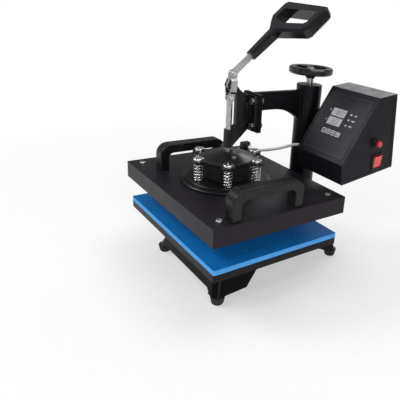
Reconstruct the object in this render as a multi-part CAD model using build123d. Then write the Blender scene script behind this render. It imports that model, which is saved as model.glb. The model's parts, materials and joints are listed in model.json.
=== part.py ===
from build123d import *
import math
import os

# Swing-away heat press for 380 x 300 mm plates, in millimetres.
# +X is the operator's right, +Y the rear, +Z up. Places are measured from the floor below the plates' centre.
# The exported part has its origin on the floor, below the middle of the whole part.

# Driving dimensions of the plates and the gap between them
plate_width = 380.0
plate_depth = 300.0
lower_platen_height = 15.0
pad_height = 10.0
open_gap = 48.0
heating_platen_height = 14.0
cover_wall = 1.5
cover_margin = 7.0
cover_height = 36.5
cover_rim_lift = 1.5
element_radius = 4.0
element_inset = 45.0
element_pitch = 70.0
running_fit = 0.05
soft_gap = 0.3

# Base frame, bent from sheet
foot_height = 16.0
foot_top_radius = 15.0
foot_radius = 12.5
foot_rib_count = 14
foot_rib_radius = 1.2
foot_screw_radius = 2.5
base_height = 84.0
base_front = -112.0
base_front_half = 134.0
base_rear = 252.0
base_rear_half = 105.0
deck_front = -84.0
deck_front_half = 100.0
deck_rear = 245.0
deck_rear_half = 76.0
rear_step = 158.0
rear_deck_top = 55.0
base_sheet = 4.0
base_corner = 17.0
base_bend = 5.0
foot_inset = 11.0
foot_setback = 13.0
front_leg_length = 80.0
arch_clearance = 32.0
arch_slope_run = 40.0
arch_rear_start = 145.0
rear_leg_length = 32.0
apron_clearance = 9.0
apron_leg_width = 22.0
rear_leg_width = 26.0
platen_bolt_x = 68.0
platen_bolt_y = 68.0
platen_bolt_radius = 4.0

# Post, swing tube and height adjuster
post_y = 202.0
post_radius = 24.0
post_wall = 4.0
post_length = 336.0
post_flange_radius = 36.5
post_flange_height = 6.0
post_bolt_circle = 31.0
post_bolt_radius = 3.0
plug_height = 6.0
tube_radius = 29.5
tube_wall = 3.0
tube_bottom = 150.0
tube_over_post = 18.0
bush_length = 25.0
bush_inset = 2.0
upper_bush_top = 375.0
cap_height = 4.0
cap_spigot = 8.0
screw_radius = 8.0
lift_travel = 8.0
wheel_gap = 6.0
wheel_radius = 50.5
wheel_opening_radius = 36.0
wheel_rim_height = 15.0
wheel_dish_drop = 10.0
wheel_hub_radius = 11.0
wheel_hub_height = 16.0
wheel_nut_radius = 8.5
wheel_nut_height = 7.0

# Arm, mount plate and toggle clamp
clamp_y = -12.0
arm_thickness = 12.0
arm_top = 397.0
arm_front_depth = 39.0
arm_rear_depth = 68.0
arm_arc_start = 98.0
mount_plate_y = 42.0
mount_plate_thickness = 8.0
mount_plate_width = 60.0
mount_plate_height = 82.0
flange_thickness = 8.0
flange_width = 54.0
flange_height = 76.0
clamp_bolt_x = 18.0
clamp_bolt_pitch = 53.0
clamp_bolt_radius = 4.0
clamp_pivot_z = 415.0
crank_radius = 23.8
link_length = 50.0
crank_rest_angle = 13.0
bar_lean = 50.0
bar_thickness = 6.0
bar_width = 12.0
bar_exposed = 53.0
bar_in_grip = 60.0
plunger_radius = 6.5
tang_thickness = 8.0
tang_shoulder = 13.5
barrel_radius = 10.0
barrel_bottom = 284.0
barrel_length = 39.0
web_thickness = 10.0
ear_thickness = 4.0
ear_radius = 9.0
pivot_radius = 3.0
rivet_head_radius = 5.0
rivet_head_height = 1.6
cheek_thickness = 2.5
cheek_width = 15.0
cheek_bulge = 8.5
side_play = 0.3

# Grip
grip_thickness = 26.0
grip_stem_width = 19.0
grip_stem_thickness = 18.0
grip_left = -41.0
grip_right = 100.0
grip_neck = 121.0
grip_shoulder = 138.0
grip_end = 212.0
grip_bar = 18.0
grip_far_bar = 23.0
grip_left_bar = 20.0
grip_skew = 18.0
grip_chamfer = 5.0
finger_count = 4
finger_radius = 15.0
finger_depth = 4.0

# Pressure spider, springs and base disc
bolt_circle_radius = 68.8
first_bolt_angle = 30.0
spring_count = 6
spider_lobe_radius = 15.0
spider_web_radius = 60.0
spider_edge = 5.0
spider_boss_radius = 14.0
spider_boss_top = 276.0
spider_lobe_top = 264.0
dome_seat = 5.0
lock_nut_height = 5.0
lock_nut_radius = 8.0
stud_radius = 4.0
shoulder_bolt_radius = 5.0
shoulder_head_radius = 11.0
shoulder_head_height = 5.0
spring_radius = 9.0
spring_wire = 2.5
spring_turns = 6
disc_radius = 98.0
disc_step_radius = 88.0
disc_height = 10.0
drum_radius = 50.0
float_travel = 3.0

# Side handles
handle_left_inset = 74.0
handle_right_inset = 12.0
handle_front_inset = 33.0
handle_length = 162.0
handle_rise = 58.0
handle_width = 27.0
handle_bar = 20.0
handle_bend = 24.0
handle_screw_radius = 3.0

# Control box: its lower front right corner, lean and sizes
box_corner = (202.0, 133.7, 241.4)
box_lean = 6.9
box_width = 140.0
box_depth = 154.0
box_height = 163.0
box_lip = 43.0
box_top_depth = 52.0
box_wall = 2.0
side_rim = 7.0
side_recess = 0.8
panel_margin = 10.0
panel_thickness = 1.4
display_width = 39.0
display_height = 18.0
display_left = 100.0
display_upper = 94.0
display_lower = 73.0
key_size = 11.5
key_pitch = 14.0
key_row = 57.0
key_first = 94.0
key_play = 0.25
key_stand = 1.0
key_switch_height = 3.4
lamp_left = 46.0
lamp_rows = (106.0, 93.5, 81.0)
lamp_radius = 2.2
board_gap = 9.0
board_thickness = 1.6
board_margin = 16.0
board_up = 79.0
board_height = 102.0
spacer_inset = 22.0
spacer_rows = (36.0, 122.0)
relay_place = (30.0, 110.0)
relay_size = (18.0, 15.0, 16.0)
transformer_place = (-26.0, 108.0)
transformer_size = (34.0, 28.0, 22.0)
terminal_place = (8.0, 40.0)
terminal_size = (46.0, 12.0, 12.0)
rocker_y = 104.0
rocker_z = 26.0
bezel_width = 32.0
bezel_height = 35.0
rocker_width = 22.0
rocker_height = 28.0
rocker_pin_radius = 1.5
rocker_pin_length = 25.0
breaker_y = 97.0
breaker_z = 69.0
breaker_radius = 9.0
breaker_stand = 8.0
bracket_bottom = 300.0
bracket_height = 60.0
bracket_sheet = 3.0
bracket_front = 184.0
bracket_rear = 238.0
bracket_screw_radius = 2.0
button_radius = 6.5
button_stand = 6.0

# Heater cable
cable_diameter = 7.0
cable_start = (-116.0, 126.0, 232.0)
cable_end_y = 155.0
cable_end_z = 281.0
gland_length = 10.0
gland_reach = 6.0
gland_fit = 0.2

# Heights that follow from the sizes above
deck_top = foot_height + base_height
platen_top = deck_top + lower_platen_height
pad_top = platen_top + pad_height
plate_bottom = pad_top + open_gap
cover_bottom = plate_bottom + cover_rim_lift
cover_top = cover_bottom + cover_height
cover_width = plate_width + 2 * cover_margin
cover_depth = plate_depth + 2 * cover_margin
disc_top = cover_top + disc_height
lobe_bottom = spider_lobe_top - spider_edge
post_bottom = rear_deck_top - base_sheet - post_flange_height
post_top = post_bottom + post_length
plug_top = post_top + plug_height
tube_top = plug_top + tube_over_post
cap_top = tube_top + cap_height
hub_bottom = cap_top + lift_travel + wheel_gap
rim_bottom = hub_bottom + wheel_dish_drop
barrel_top = barrel_bottom + barrel_length
crank_y = crank_radius * math.sin(math.radians(crank_rest_angle))
crank_z = crank_radius * math.cos(math.radians(crank_rest_angle))
link_drop = math.sqrt(link_length ** 2 - crank_y ** 2)
upper_pivot = (clamp_y + crank_y, clamp_pivot_z + crank_z)
lower_pivot = (clamp_y, upper_pivot[1] - link_drop)
stroke = crank_radius + link_length - (clamp_pivot_z - lower_pivot[1])
handle_left_x = -plate_width / 2 + handle_left_inset
handle_right_x = plate_width / 2 - handle_right_inset
handle_front = -plate_depth / 2 + handle_front_inset
handle_rear = handle_front + handle_length
box_left = box_corner[0] - box_width
box_place = Location(box_corner, (box_lean, 0, 0))
box_side = box_place * Pos(-side_recess, 0, 0)
slope_run = box_depth - box_top_depth
slope_rise = box_height - box_lip
slope_length = math.hypot(slope_run, slope_rise)


# Helpers
def block(x0, x1, y0, y1, z0, z1):
    return Pos((x0 + x1) / 2, (y0 + y1) / 2, (z0 + z1) / 2) * Box(x1 - x0, y1 - y0, z1 - z0)


def upright(radius, z0, z1, x=0.0, y=0.0):
    return Pos(x, y, (z0 + z1) / 2) * Cylinder(radius, z1 - z0)


def cross(radius, x0, x1, y, z):
    return Pos((x0 + x1) / 2, y, z) * Rot(0, 90, 0) * Cylinder(radius, x1 - x0)


def fore_aft(radius, y0, y1, x, z):
    return Pos(x, (y0 + y1) / 2, z) * Rot(90, 0, 0) * Cylinder(radius, y1 - y0)


def hex_upright(radius, z0, z1, x=0.0, y=0.0):
    return Pos(x, y, z0) * extrude(RegularPolygon(radius, 6), z1 - z0)


def hex_fore_aft(radius, y0, y1, x, z):
    return Pos(x, y1, z) * Rot(90, 0, 0) * extrude(RegularPolygon(radius, 6), y1 - y0)


def side_profile(points, x0, x1):
    # a polygon drawn in Y and Z, given its width in X
    face = Plane.YZ * make_face(Polyline(*points, close=True))
    return Pos(x0, 0, 0) * extrude(face, x1 - x0)


def front_profile(points, y0, y1):
    # a polygon drawn in X and Z, given its depth in Y
    face = Plane.XZ * make_face(Polyline(*points, close=True))
    return Pos(0, y1, 0) * extrude(face, y1 - y0)


def turned(points, x=0.0, y=0.0):
    # a body of revolution about a vertical axis, drawn as radius and height
    face = Plane.XZ * make_face(Polyline(*points, close=True))
    return Pos(x, y, 0) * revolve(face, Axis.Z)


def corners(x, y):
    return [(x, y), (-x, y), (-x, -y), (x, -y)]


def group(pieces):
    return Compound(children=list(pieces))


# Base
def foot_places():
    front = [(side * (base_front_half - foot_inset), base_front + foot_setback) for side in (-1, 1)]
    rear = [(side * (base_rear_half - foot_inset), base_rear - foot_setback) for side in (-1, 1)]
    return front + rear


def base_body(inset, top):
    # walls that lean inwards from the feet up to the deck, narrower at the rear
    outlines = []
    for z, front, front_half, rear, rear_half in (
            (foot_height, base_front, base_front_half, base_rear, base_rear_half),
            (top, deck_front, deck_front_half, deck_rear, deck_rear_half)):
        outline = Polyline(
            (-front_half + inset, front + inset), (front_half - inset, front + inset),
            (rear_half - inset, rear - inset), (-rear_half + inset, rear - inset), close=True)
        outlines.append(Pos(0, 0, z) * make_face(outline))
    body = loft(outlines)
    leaning = body.edges().filter_by(lambda edge: edge.bounding_box().size.Z > base_height / 2)
    return fillet(leaning, base_corner - inset)


def base_frame():
    outer = base_body(0, deck_top)
    body = fillet(outer.edges().group_by(Axis.Z)[-1], base_bend)
    # the rear, where the post stands, is lower than the deck below the plate
    wide = base_front_half + 1
    past_rear = base_rear + 1
    above_deck = deck_top + 1
    body -= block(-wide, wide, rear_step, past_rear, rear_deck_top, above_deck)
    hollow = base_body(base_sheet, deck_top - base_sheet)
    hollow -= block(-wide, wide, rear_step - base_sheet, past_rear, rear_deck_top - base_sheet, above_deck)
    frame = body - hollow
    arch_top = foot_height + arch_clearance
    front_end = base_front + front_leg_length
    rear_start = base_rear - rear_leg_length
    window = [
        (front_end, foot_height), (front_end + arch_slope_run, arch_top), (arch_rear_start, arch_top),
        (rear_start - 28, foot_height + arch_clearance / 2), (rear_start - 6, foot_height + 6), (rear_start, foot_height)]
    frame -= side_profile(window, -base_front_half, base_front_half)
    apron_low = foot_height + apron_clearance
    leg = base_front_half - apron_leg_width
    front_window = [
        (-leg, foot_height), (-leg + 15, apron_low), (leg - 15, apron_low), (leg, foot_height)]
    frame -= front_profile(front_window, base_front - 1, 0)
    rear_leg = base_rear_half - rear_leg_width
    rear_window = [
        (-rear_leg, foot_height), (-rear_leg + 14, arch_top), (rear_leg - 14, arch_top), (rear_leg, foot_height)]
    frame -= front_profile(rear_window, post_y, base_rear + 1)
    for x, y in foot_places():
        reach = foot_top_radius + 2
        tab = outer & block(x - reach, x + reach, y - reach, y + reach, foot_height, foot_height + base_sheet)
        frame += tab
    for x, y in foot_places():
        frame -= upright(foot_screw_radius + running_fit, foot_height - 1, foot_height + base_sheet + 2, x, y)
    frame -= upright(post_radius + running_fit, rear_deck_top - 10, rear_deck_top + 1, 0, post_y)
    for x, y in corners(platen_bolt_x, platen_bolt_y):
        frame -= upright(platen_bolt_radius + running_fit, deck_top - 10, deck_top + 1, x, y)
    for place in PolarLocations(post_bolt_circle, 4, start_angle=45):
        frame -= Pos(0, post_y, 0) * place * upright(post_bolt_radius + running_fit, rear_deck_top - 10, rear_deck_top + 1)
    return frame


def rubber_foot(x, y):
    # wider at the top, with ribs down its side and a counterbore for the screw
    shape = turned([
        (0, 0), (foot_radius - 1.5, 0), (foot_radius, 2), (foot_top_radius, foot_height - 2),
        (foot_top_radius, foot_height), (0, foot_height)])
    lean = math.degrees(math.atan2(foot_top_radius - foot_radius, foot_height - 4))
    middle = (foot_top_radius + foot_radius) / 2 + 0.4
    for place in PolarLocations(middle, foot_rib_count):
        shape -= place * Pos(0, 0, foot_height / 2) * Rot(0, lean, 0) * Cylinder(foot_rib_radius, 2 * foot_height)
    shape -= upright(foot_screw_radius + running_fit, -1, foot_height + 1)
    shape -= upright(2 * foot_screw_radius + 0.6, -1, 6)
    return Pos(x, y, 0) * shape


def foot_screws():
    screws = []
    for x, y in foot_places():
        shank = upright(foot_screw_radius, 6, foot_height + base_sheet + 1, x, y)
        screws.append(shank + upright(2 * foot_screw_radius, 3, 6, x, y))
    return group(screws)


def lower_platen():
    plate = block(
        -plate_width / 2, plate_width / 2, -plate_depth / 2, plate_depth / 2, deck_top, platen_top)
    plate = fillet(plate.edges().filter_by(Axis.Z), 3)
    for x, y in corners(platen_bolt_x, platen_bolt_y):
        plate -= upright(platen_bolt_radius + running_fit, deck_top - 1, platen_top - 3, x, y)
    return plate


def silicone_pad():
    pad = block(-plate_width / 2, plate_width / 2, -plate_depth / 2, plate_depth / 2, platen_top, pad_top)
    return fillet(pad.edges().filter_by(Axis.Z), 3)


def platen_bolts():
    seat = deck_top - base_sheet
    bolts = []
    for x, y in corners(platen_bolt_x, platen_bolt_y):
        bolts.append(hex_upright(7.5, seat - 5.3, seat, x, y) + upright(platen_bolt_radius, seat, platen_top - 3.5, x, y))
    return group(bolts)


def inner_post():
    top_flange = rear_deck_top - base_sheet
    post = upright(post_radius, post_bottom, post_top, 0, post_y)
    post += upright(post_flange_radius, post_bottom, top_flange, 0, post_y)
    post -= upright(post_radius - post_wall, post_bottom - 1, post_top + 1, 0, post_y)
    for place in PolarLocations(post_bolt_circle, 4, start_angle=45):
        post -= Pos(0, post_y, 0) * place * upright(post_bolt_radius + running_fit, post_bottom - 1, top_flange + 1)
    plug = upright(post_radius - post_wall, post_top - 6, post_top, 0, post_y)
    plug += upright(post_radius, post_top, plug_top - 1, 0, post_y) + upright(screw_radius + 4, plug_top - 1, plug_top, 0, post_y)
    return post + plug


def post_bolts():
    bolts = []
    for place in PolarLocations(post_bolt_circle, 4, start_angle=45):
        bolt = hex_upright(5.6, rear_deck_top, rear_deck_top + 4) + upright(post_bolt_radius, post_bottom - 7, rear_deck_top)
        bolt += hex_upright(5.6, post_bottom - 5, post_bottom)
        bolts.append(Pos(0, post_y, 0) * place * bolt)
    return group(bolts)


# Height adjuster
def handwheel():
    rim_inner = wheel_opening_radius
    rim_top = rim_bottom + wheel_rim_height
    hub_top = hub_bottom + wheel_hub_height
    bore = screw_radius + 0.02
    profile = [
        (bore, hub_bottom), (wheel_hub_radius - 1, hub_bottom), (wheel_hub_radius, hub_bottom + 1),
        (wheel_hub_radius, hub_bottom + 3), (rim_inner - 8, rim_bottom - 1), (rim_inner + 4, rim_bottom),
        (wheel_radius - 3, rim_bottom), (wheel_radius, rim_bottom + 3), (wheel_radius, rim_top - 3),
        (wheel_radius - 3, rim_top), (rim_inner + 2, rim_top), (rim_inner, rim_top - 2), (rim_inner - 1, rim_bottom + 4),
        (rim_inner - 12, rim_bottom + 2), (wheel_hub_radius + 4, hub_bottom + 9), (wheel_hub_radius + 1, hub_top),
        (bore, hub_top)]
    return turned(profile, 0, post_y)


def adjusting_screw():
    hub_top = hub_bottom + wheel_hub_height
    screw = upright(screw_radius - 1, plug_top, plug_top + 1, 0, post_y)
    screw += upright(screw_radius, plug_top + 1, hub_top - 0.3, 0, post_y)
    screw += upright(5, hub_top - 0.3, hub_top + wheel_nut_height + 1.5, 0, post_y)
    return screw


def wheel_nut():
    hub_top = hub_bottom + wheel_hub_height
    nut = hex_upright(wheel_nut_radius, hub_top, hub_top + wheel_nut_height, 0, post_y)
    return nut - upright(5 + running_fit, hub_top - 1, hub_top + 20, 0, post_y)


def slide_bushes():
    bushes = []
    for bottom in (tube_bottom + bush_inset, upper_bush_top - bush_length):
        ring = upright(tube_radius - tube_wall - running_fit, bottom, bottom + bush_length, 0, post_y)
        bushes.append(ring - upright(post_radius + running_fit, bottom - 1, bottom + bush_length + 1, 0, post_y))
    return group(bushes)


# Swing tube and arm
def swing_tube():
    tube = upright(tube_radius, tube_bottom, tube_top, 0, post_y)
    return tube - upright(tube_radius - tube_wall, tube_bottom - 1, tube_top + 1, 0, post_y)


def tube_cap():
    cap = upright(tube_radius, tube_top, cap_top, 0, post_y)
    cap = fillet(cap.edges().group_by(Axis.Z)[-1], 1.5)
    cap += upright(tube_radius - tube_wall - running_fit, tube_top - cap_spigot, tube_top, 0, post_y)
    return cap - upright(screw_radius + running_fit, tube_top - cap_spigot - 1, cap_top + 1, 0, post_y)


def arm_plate():
    front = mount_plate_y + mount_plate_thickness
    tube_front = post_y - tube_radius
    low_front = arm_top - arm_front_depth
    low_rear = arm_top - arm_rear_depth
    outline = Polyline((front, low_front), (front, arm_top), (post_y, arm_top), (post_y, low_rear), (tube_front, low_rear))
    arch = TangentArc((arm_arc_start, low_front), (tube_front, low_rear), tangent=(1, 0))
    under = Line((arm_arc_start, low_front), (front, low_front))
    plate = extrude(Plane.YZ * make_face(outline + arch + under), arm_thickness / 2, both=True)
    return plate - upright(tube_radius, low_rear - 5, arm_top + 5, 0, post_y)


def clamp_bolt_places():
    middle = arm_top - mount_plate_height / 2
    return [(x, middle + z) for x in (-clamp_bolt_x, clamp_bolt_x) for z in (-clamp_bolt_pitch / 2, clamp_bolt_pitch / 2)]


def bolted_plate(width, height, y0, y1, radius):
    middle = arm_top - mount_plate_height / 2
    plate = block(-width / 2, width / 2, y0, y1, middle - height / 2, middle + height / 2)
    plate = fillet(plate.edges().filter_by(Axis.Y), radius)
    for x, z in clamp_bolt_places():
        plate -= fore_aft(clamp_bolt_radius + running_fit, y0 - 1, y1 + 1, x, z)
    return plate


def mount_plate():
    return bolted_plate(
        mount_plate_width, mount_plate_height, mount_plate_y, mount_plate_y + mount_plate_thickness, 3)


def clamp_bolts():
    seat = mount_plate_y - flange_thickness
    back = mount_plate_y + mount_plate_thickness
    bolts = []
    for x, z in clamp_bolt_places():
        bolt = hex_fore_aft(7.5, seat - 5.3, seat, x, z) + fore_aft(clamp_bolt_radius, seat, back + 9, x, z)
        nut = hex_fore_aft(7.5, back, back + 6.5, x, z)
        bolts.append(bolt + nut)
    return group(bolts)


def clamp_body():
    flange_front = mount_plate_y - flange_thickness
    body = bolted_plate(flange_width, flange_height, flange_front, mount_plate_y, 7)
    middle = arm_top - mount_plate_height / 2
    low = middle - flange_height / 2 + 4
    high = middle + flange_height / 2 - 4
    half_ear = bar_thickness / 2 + side_play + ear_thickness
    web_front = clamp_y + 14
    pivot = (clamp_y, clamp_pivot_z)
    web = side_profile([
        (flange_front + 1, low), (clamp_y + 6, barrel_bottom), (clamp_y + 4, barrel_top), (web_front, barrel_top + 9),
        (web_front, clamp_pivot_z - 16), (clamp_y, clamp_pivot_z - ear_radius), (clamp_y, clamp_pivot_z + ear_radius),
        (clamp_y + 8, clamp_pivot_z + 5), (web_front + 6, clamp_pivot_z - 9), (flange_front - 12, high + 6),
        (flange_front + 1, high)], -web_thickness / 2, web_thickness / 2)
    ears = side_profile([
        (web_front + 8, clamp_pivot_z - 26), (web_front, clamp_pivot_z - 17), (clamp_y - 1, clamp_pivot_z - ear_radius),
        (clamp_y, clamp_pivot_z), (clamp_y + 1, clamp_pivot_z + ear_radius), (clamp_y + 8, clamp_pivot_z + 4.5),
        (web_front + 6, clamp_pivot_z - 9.5)], -half_ear, half_ear)
    ears += cross(ear_radius, -half_ear, half_ear, *pivot)
    barrel = upright(barrel_radius, barrel_bottom, barrel_top, 0, clamp_y)
    barrel = fillet(barrel.edges().filter_by(GeomType.CIRCLE), 1.5)
    ribs = side_profile([
        (flange_front + 1, low + 8), (flange_front - 10, low + 12), (flange_front - 10, high - 16),
        (flange_front + 1, high - 10)], -web_thickness, web_thickness)
    body += web + ears + barrel + ribs
    slot = bar_thickness / 2 + side_play
    slot_rear = clamp_y + ear_radius + 0.5
    body -= block(-slot, slot, clamp_y - 20, slot_rear, clamp_pivot_z - 20, clamp_pivot_z + 20)
    body -= upright(plunger_radius + running_fit, barrel_bottom - 5, clamp_pivot_z - 12, 0, clamp_y)
    body -= cross(pivot_radius, -half_ear - 1, half_ear + 1, *pivot)
    return body


def centre_rivet():
    half_ear = bar_thickness / 2 + side_play + ear_thickness
    pin = cross(pivot_radius, -half_ear, half_ear, clamp_y, clamp_pivot_z)
    for side in (-1, 1):
        ends = sorted((side * half_ear, side * (half_ear + 0.7)))
        pin += cross(rivet_head_radius, *ends, clamp_y, clamp_pivot_z)
    return pin


# Lever and grip
def lever_plane():
    lean = math.radians(bar_lean)
    return Plane(
        origin=(0, upper_pivot[0], upper_pivot[1]), x_dir=(1, 0, 0), z_dir=(0, -math.cos(lean), math.sin(lean)))


def lever_bar():
    half = bar_thickness / 2
    place = lever_plane().location
    bar = place * block(-half, half, 0, bar_exposed + bar_in_grip, -bar_width / 2, bar_width / 2)
    bar += cross(7.0, -half, half, *upper_pivot)
    bar += cross(8.0, -half, half, clamp_y, clamp_pivot_z)
    reach = crank_radius
    crank = Pos(0, clamp_y, clamp_pivot_z) * Rot(-crank_rest_angle, 0, 0) * block(-half, half, -7, 7, 0, reach)
    bar += crank
    bar -= cross(pivot_radius + running_fit, -half - 1, half + 1, *upper_pivot)
    return bar - cross(pivot_radius + running_fit, -half - 1, half + 1, clamp_y, clamp_pivot_z)


def d_grip():
    half = grip_thickness / 2
    left_shoulder = grip_shoulder + grip_skew
    outer = make_face(Polyline(
        (-9, grip_neck + 3), (9, grip_neck), (grip_right - 9, grip_shoulder - 5), (grip_right, grip_shoulder + 6),
        (grip_right, grip_end - 13), (grip_right - 9, grip_end - 3), (grip_left + 9, grip_end + 3),
        (grip_left, grip_end - 6), (grip_left, left_shoulder + 6), (grip_left + 8, left_shoulder - 5), close=True))
    loop = Pos(0, 0, -half) * extrude(outer, grip_thickness)
    rims = loop.edges().group_by(Axis.Z)[-1] + loop.edges().group_by(Axis.Z)[0]
    loop = chamfer(rims, grip_chamfer)
    far = grip_end - grip_far_bar
    left = grip_left + grip_left_bar
    right = grip_right - grip_bar
    inner = make_face(Polyline(
        (left + 4, left_shoulder + 1), (14, grip_neck + grip_bar + 6), (right - 5, grip_shoulder + grip_bar - 5),
        (right, grip_shoulder + grip_bar), (right, far), (left, far), (left, left_shoulder + 6), close=True))
    opening = Pos(0, 0, -half - 1) * extrude(inner, grip_thickness + 2)
    span = right - left
    for i in range(finger_count):
        x = left + span * (i + 0.5) / finger_count
        y = far + finger_radius - finger_depth
        opening -= Pos(x, y, 0) * Cylinder(finger_radius * 0.75, grip_thickness + 4)
    loop -= opening
    stem_start = bar_exposed
    stem = Pos(0, stem_start, 0) * Rot(-90, 0, 0) * loft([
        RectangleRounded(grip_stem_width, grip_stem_thickness, 4),
        Pos(0, 0, grip_neck + 6 - stem_start) * RectangleRounded(grip_stem_width + 3, grip_stem_thickness + 3, 4)])
    grip = loop + stem
    grip -= block(
        -bar_thickness / 2 - running_fit, bar_thickness / 2 + running_fit, bar_exposed - 1,
        bar_exposed + bar_in_grip + 0.2, -bar_width / 2 - running_fit, bar_width / 2 + running_fit)
    return lever_plane().location * grip


# Toggle link, a pair of cheeks that bulge round the ears
def cheek(side):
    near_upper = bar_thickness / 2 + side_play
    near_lower = tang_thickness / 2 + side_play
    t = cheek_thickness
    bend_upper = (9.0, 14.0)
    bend_lower = (36.0, 41.0)
    inner_line = [
        (near_upper, cheek_width / 2), (near_upper, -bend_upper[0]), (cheek_bulge, -bend_upper[1]),
        (cheek_bulge, -bend_lower[0]), (near_lower, -bend_lower[1]), (near_lower, -link_length - cheek_width / 2)]
    outer_line = [(x + t, z) for x, z in reversed(inner_line)]
    strip = Plane.XZ * make_face(Polyline(*inner_line, *outer_line, close=True))
    strip = extrude(strip, cheek_width / 2, both=True)
    outline = SlotCenterToCenter(link_length, cheek_width, rotation=90)
    outline = Pos(0, 0, -link_length / 2) * (Plane.YZ * outline)
    trim = extrude(outline, 20, both=True)
    piece = strip & trim
    piece -= cross(pivot_radius, 0, 20, 0, 0)
    piece -= cross(pivot_radius, 0, 20, 0, -link_length)
    if side < 0:
        piece = mirror(piece, Plane.YZ)
    return piece


def link_place():
    lean = math.degrees(math.asin(crank_y / link_length))
    return Location((0, upper_pivot[0], upper_pivot[1]), (-lean, 0, 0))


def link_cheeks():
    return group([link_place() * cheek(1), link_place() * cheek(-1)])


def upper_rivet():
    outer = bar_thickness / 2 + side_play + cheek_thickness
    pin = cross(pivot_radius, -outer, outer, 0, 0)
    for side in (-1, 1):
        ends = sorted((side * outer, side * (outer + rivet_head_height)))
        pin += cross(rivet_head_radius, *ends, 0, 0)
    return link_place() * pin


def lower_rivet_heads():
    inner = tang_thickness / 2 + side_play
    outer = inner + cheek_thickness
    heads = []
    for side in (-1, 1):
        body = cross(pivot_radius, *sorted((side * inner, side * outer)), 0, -link_length)
        body += cross(rivet_head_radius, *sorted((side * outer, side * (outer + rivet_head_height))), 0, -link_length)
        heads.append(link_place() * body)
    return group(heads)


# Plunger and spider
def plunger():
    end_z = spider_boss_top + lock_nut_height
    shoulder = lower_pivot[1] - tang_shoulder
    rod = upright(plunger_radius, end_z, lower_pivot[1], 0, clamp_y)
    rod = chamfer(rod.edges().group_by(Axis.Z)[0], 0.8)
    side = tang_thickness / 2
    rod += cross(plunger_radius, -side, side, *lower_pivot)
    for s in (-1, 1):
        cut = sorted((s * side, s * 20))
        rod -= block(*cut, clamp_y - 20, clamp_y + 20, shoulder, lower_pivot[1] + 20)
    rod += upright(stud_radius, spider_boss_top - 16, end_z, 0, clamp_y)
    return rod - cross(pivot_radius, -side - 1, side + 1, *lower_pivot)


def plunger_rivet():
    side = tang_thickness / 2
    return cross(pivot_radius, -side, side, *lower_pivot)


def lock_nut():
    nut = hex_upright(lock_nut_radius, spider_boss_top, spider_boss_top + lock_nut_height, 0, clamp_y)
    return nut - upright(stud_radius + running_fit, spider_boss_top - 1, spider_boss_top + 10, 0, clamp_y)


def bolt_places():
    return PolarLocations(bolt_circle_radius, spring_count, start_angle=first_bolt_angle)


def spider_plate():
    outline = Circle(spider_web_radius)
    for place in bolt_places():
        outline += place * Circle(spider_lobe_radius)
    outline = fillet(outline.vertices(), 7)
    top = spider_lobe_top
    boss = spider_boss_top
    shell = turned([
        (0, lobe_bottom), (90, lobe_bottom), (90, top), (spider_web_radius - 4, top), (48, top + 2), (38, top + 5.4),
        (28, top + 8.6), (spider_boss_radius + 4, top + 10.6), (spider_boss_radius, boss - 0.5),
        (spider_boss_radius - 1, boss), (0, boss)])
    hollow = turned([(0, lobe_bottom - 1), (42, lobe_bottom - 1), (42, lobe_bottom), (30, lobe_bottom + 4), (0, lobe_bottom + 4)])
    plate = shell & (Pos(0, 0, lobe_bottom - 1) * extrude(outline, 40))
    plate -= hollow
    for place in bolt_places():
        plate -= place * upright(shoulder_bolt_radius + 0.4, lobe_bottom - 5, top + 5)
    plate -= upright(stud_radius + running_fit, lobe_bottom - 1, boss + 1)
    return Pos(0, clamp_y, 0) * plate - upright(5.4, top + dome_seat, boss, *dome_screw_place())


def dome_screw_place():
    angle = math.radians(-8)
    return 34 * math.cos(angle), clamp_y + 34 * math.sin(angle)


def dome_screw():
    # a socket screw set in the dome, on the side that faces the operator's right
    x, y = dome_screw_place()
    seat = spider_lobe_top + dome_seat
    return upright(4.8, seat, seat + 3.4, x, y) - hex_upright(2.2, seat + 1.6, seat + 5, x, y)


# Floating plate group
def base_disc():
    disc = turned([
        (0, cover_top), (disc_radius, cover_top), (disc_radius, cover_top + 4), (disc_radius - 1.5, cover_top + 5.5),
        (disc_step_radius, cover_top + 6), (disc_step_radius, disc_top - 1), (disc_step_radius - 1, disc_top), (0, disc_top)])
    for place in bolt_places():
        disc -= place * upright(shoulder_bolt_radius + running_fit, cover_top + 2, disc_top + 1)
    return Pos(0, clamp_y, 0) * disc


def centre_drum():
    top = lobe_bottom - float_travel - 2
    drum = turned([
        (0, disc_top), (drum_radius, disc_top), (drum_radius, top - 1), (drum_radius - 1, top),
        (drum_radius - 6, top), (drum_radius - 6, disc_top + 6), (0, disc_top + 6)])
    return Pos(0, clamp_y, 0) * drum


def shoulder_bolts():
    bolts = []
    for place in bolt_places():
        head_top = spider_lobe_top + shoulder_head_height
        bolt = upright(shoulder_bolt_radius, cover_top + 2.5, spider_lobe_top)
        head = upright(shoulder_head_radius, spider_lobe_top, head_top)
        head = fillet(head.edges().group_by(Axis.Z)[-1], 1.8)
        head -= block(-7, 7, -0.9, 0.9, head_top - 1.8, head_top + 1)
        bolts.append(Pos(0, clamp_y, 0) * place * (bolt + head))
    return group(bolts)


def coil_point(turn):
    # closed ends: the first and last half turn climb by half a wire, the rest evenly
    height = lobe_bottom - disc_top - spring_wire - 0.4
    end_turns = 0.5
    end_climb = spring_wire * 0.6
    active = spring_turns - 2 * end_turns
    pitch = (height - 2 * end_climb) / active
    if turn <= end_turns:
        z = end_climb * turn / end_turns
        climb = end_climb / end_turns
    elif turn >= spring_turns - end_turns:
        z = height - end_climb * (spring_turns - turn) / end_turns
        climb = end_climb / end_turns
    else:
        z = end_climb + pitch * (turn - end_turns)
        climb = pitch
    angle = 2 * math.pi * turn
    point = Vector(spring_radius * math.cos(angle), spring_radius * math.sin(angle), z)
    run = 2 * math.pi * spring_radius
    heading = Vector(-run * math.sin(angle), run * math.cos(angle), climb).normalized()
    return point, heading


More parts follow.
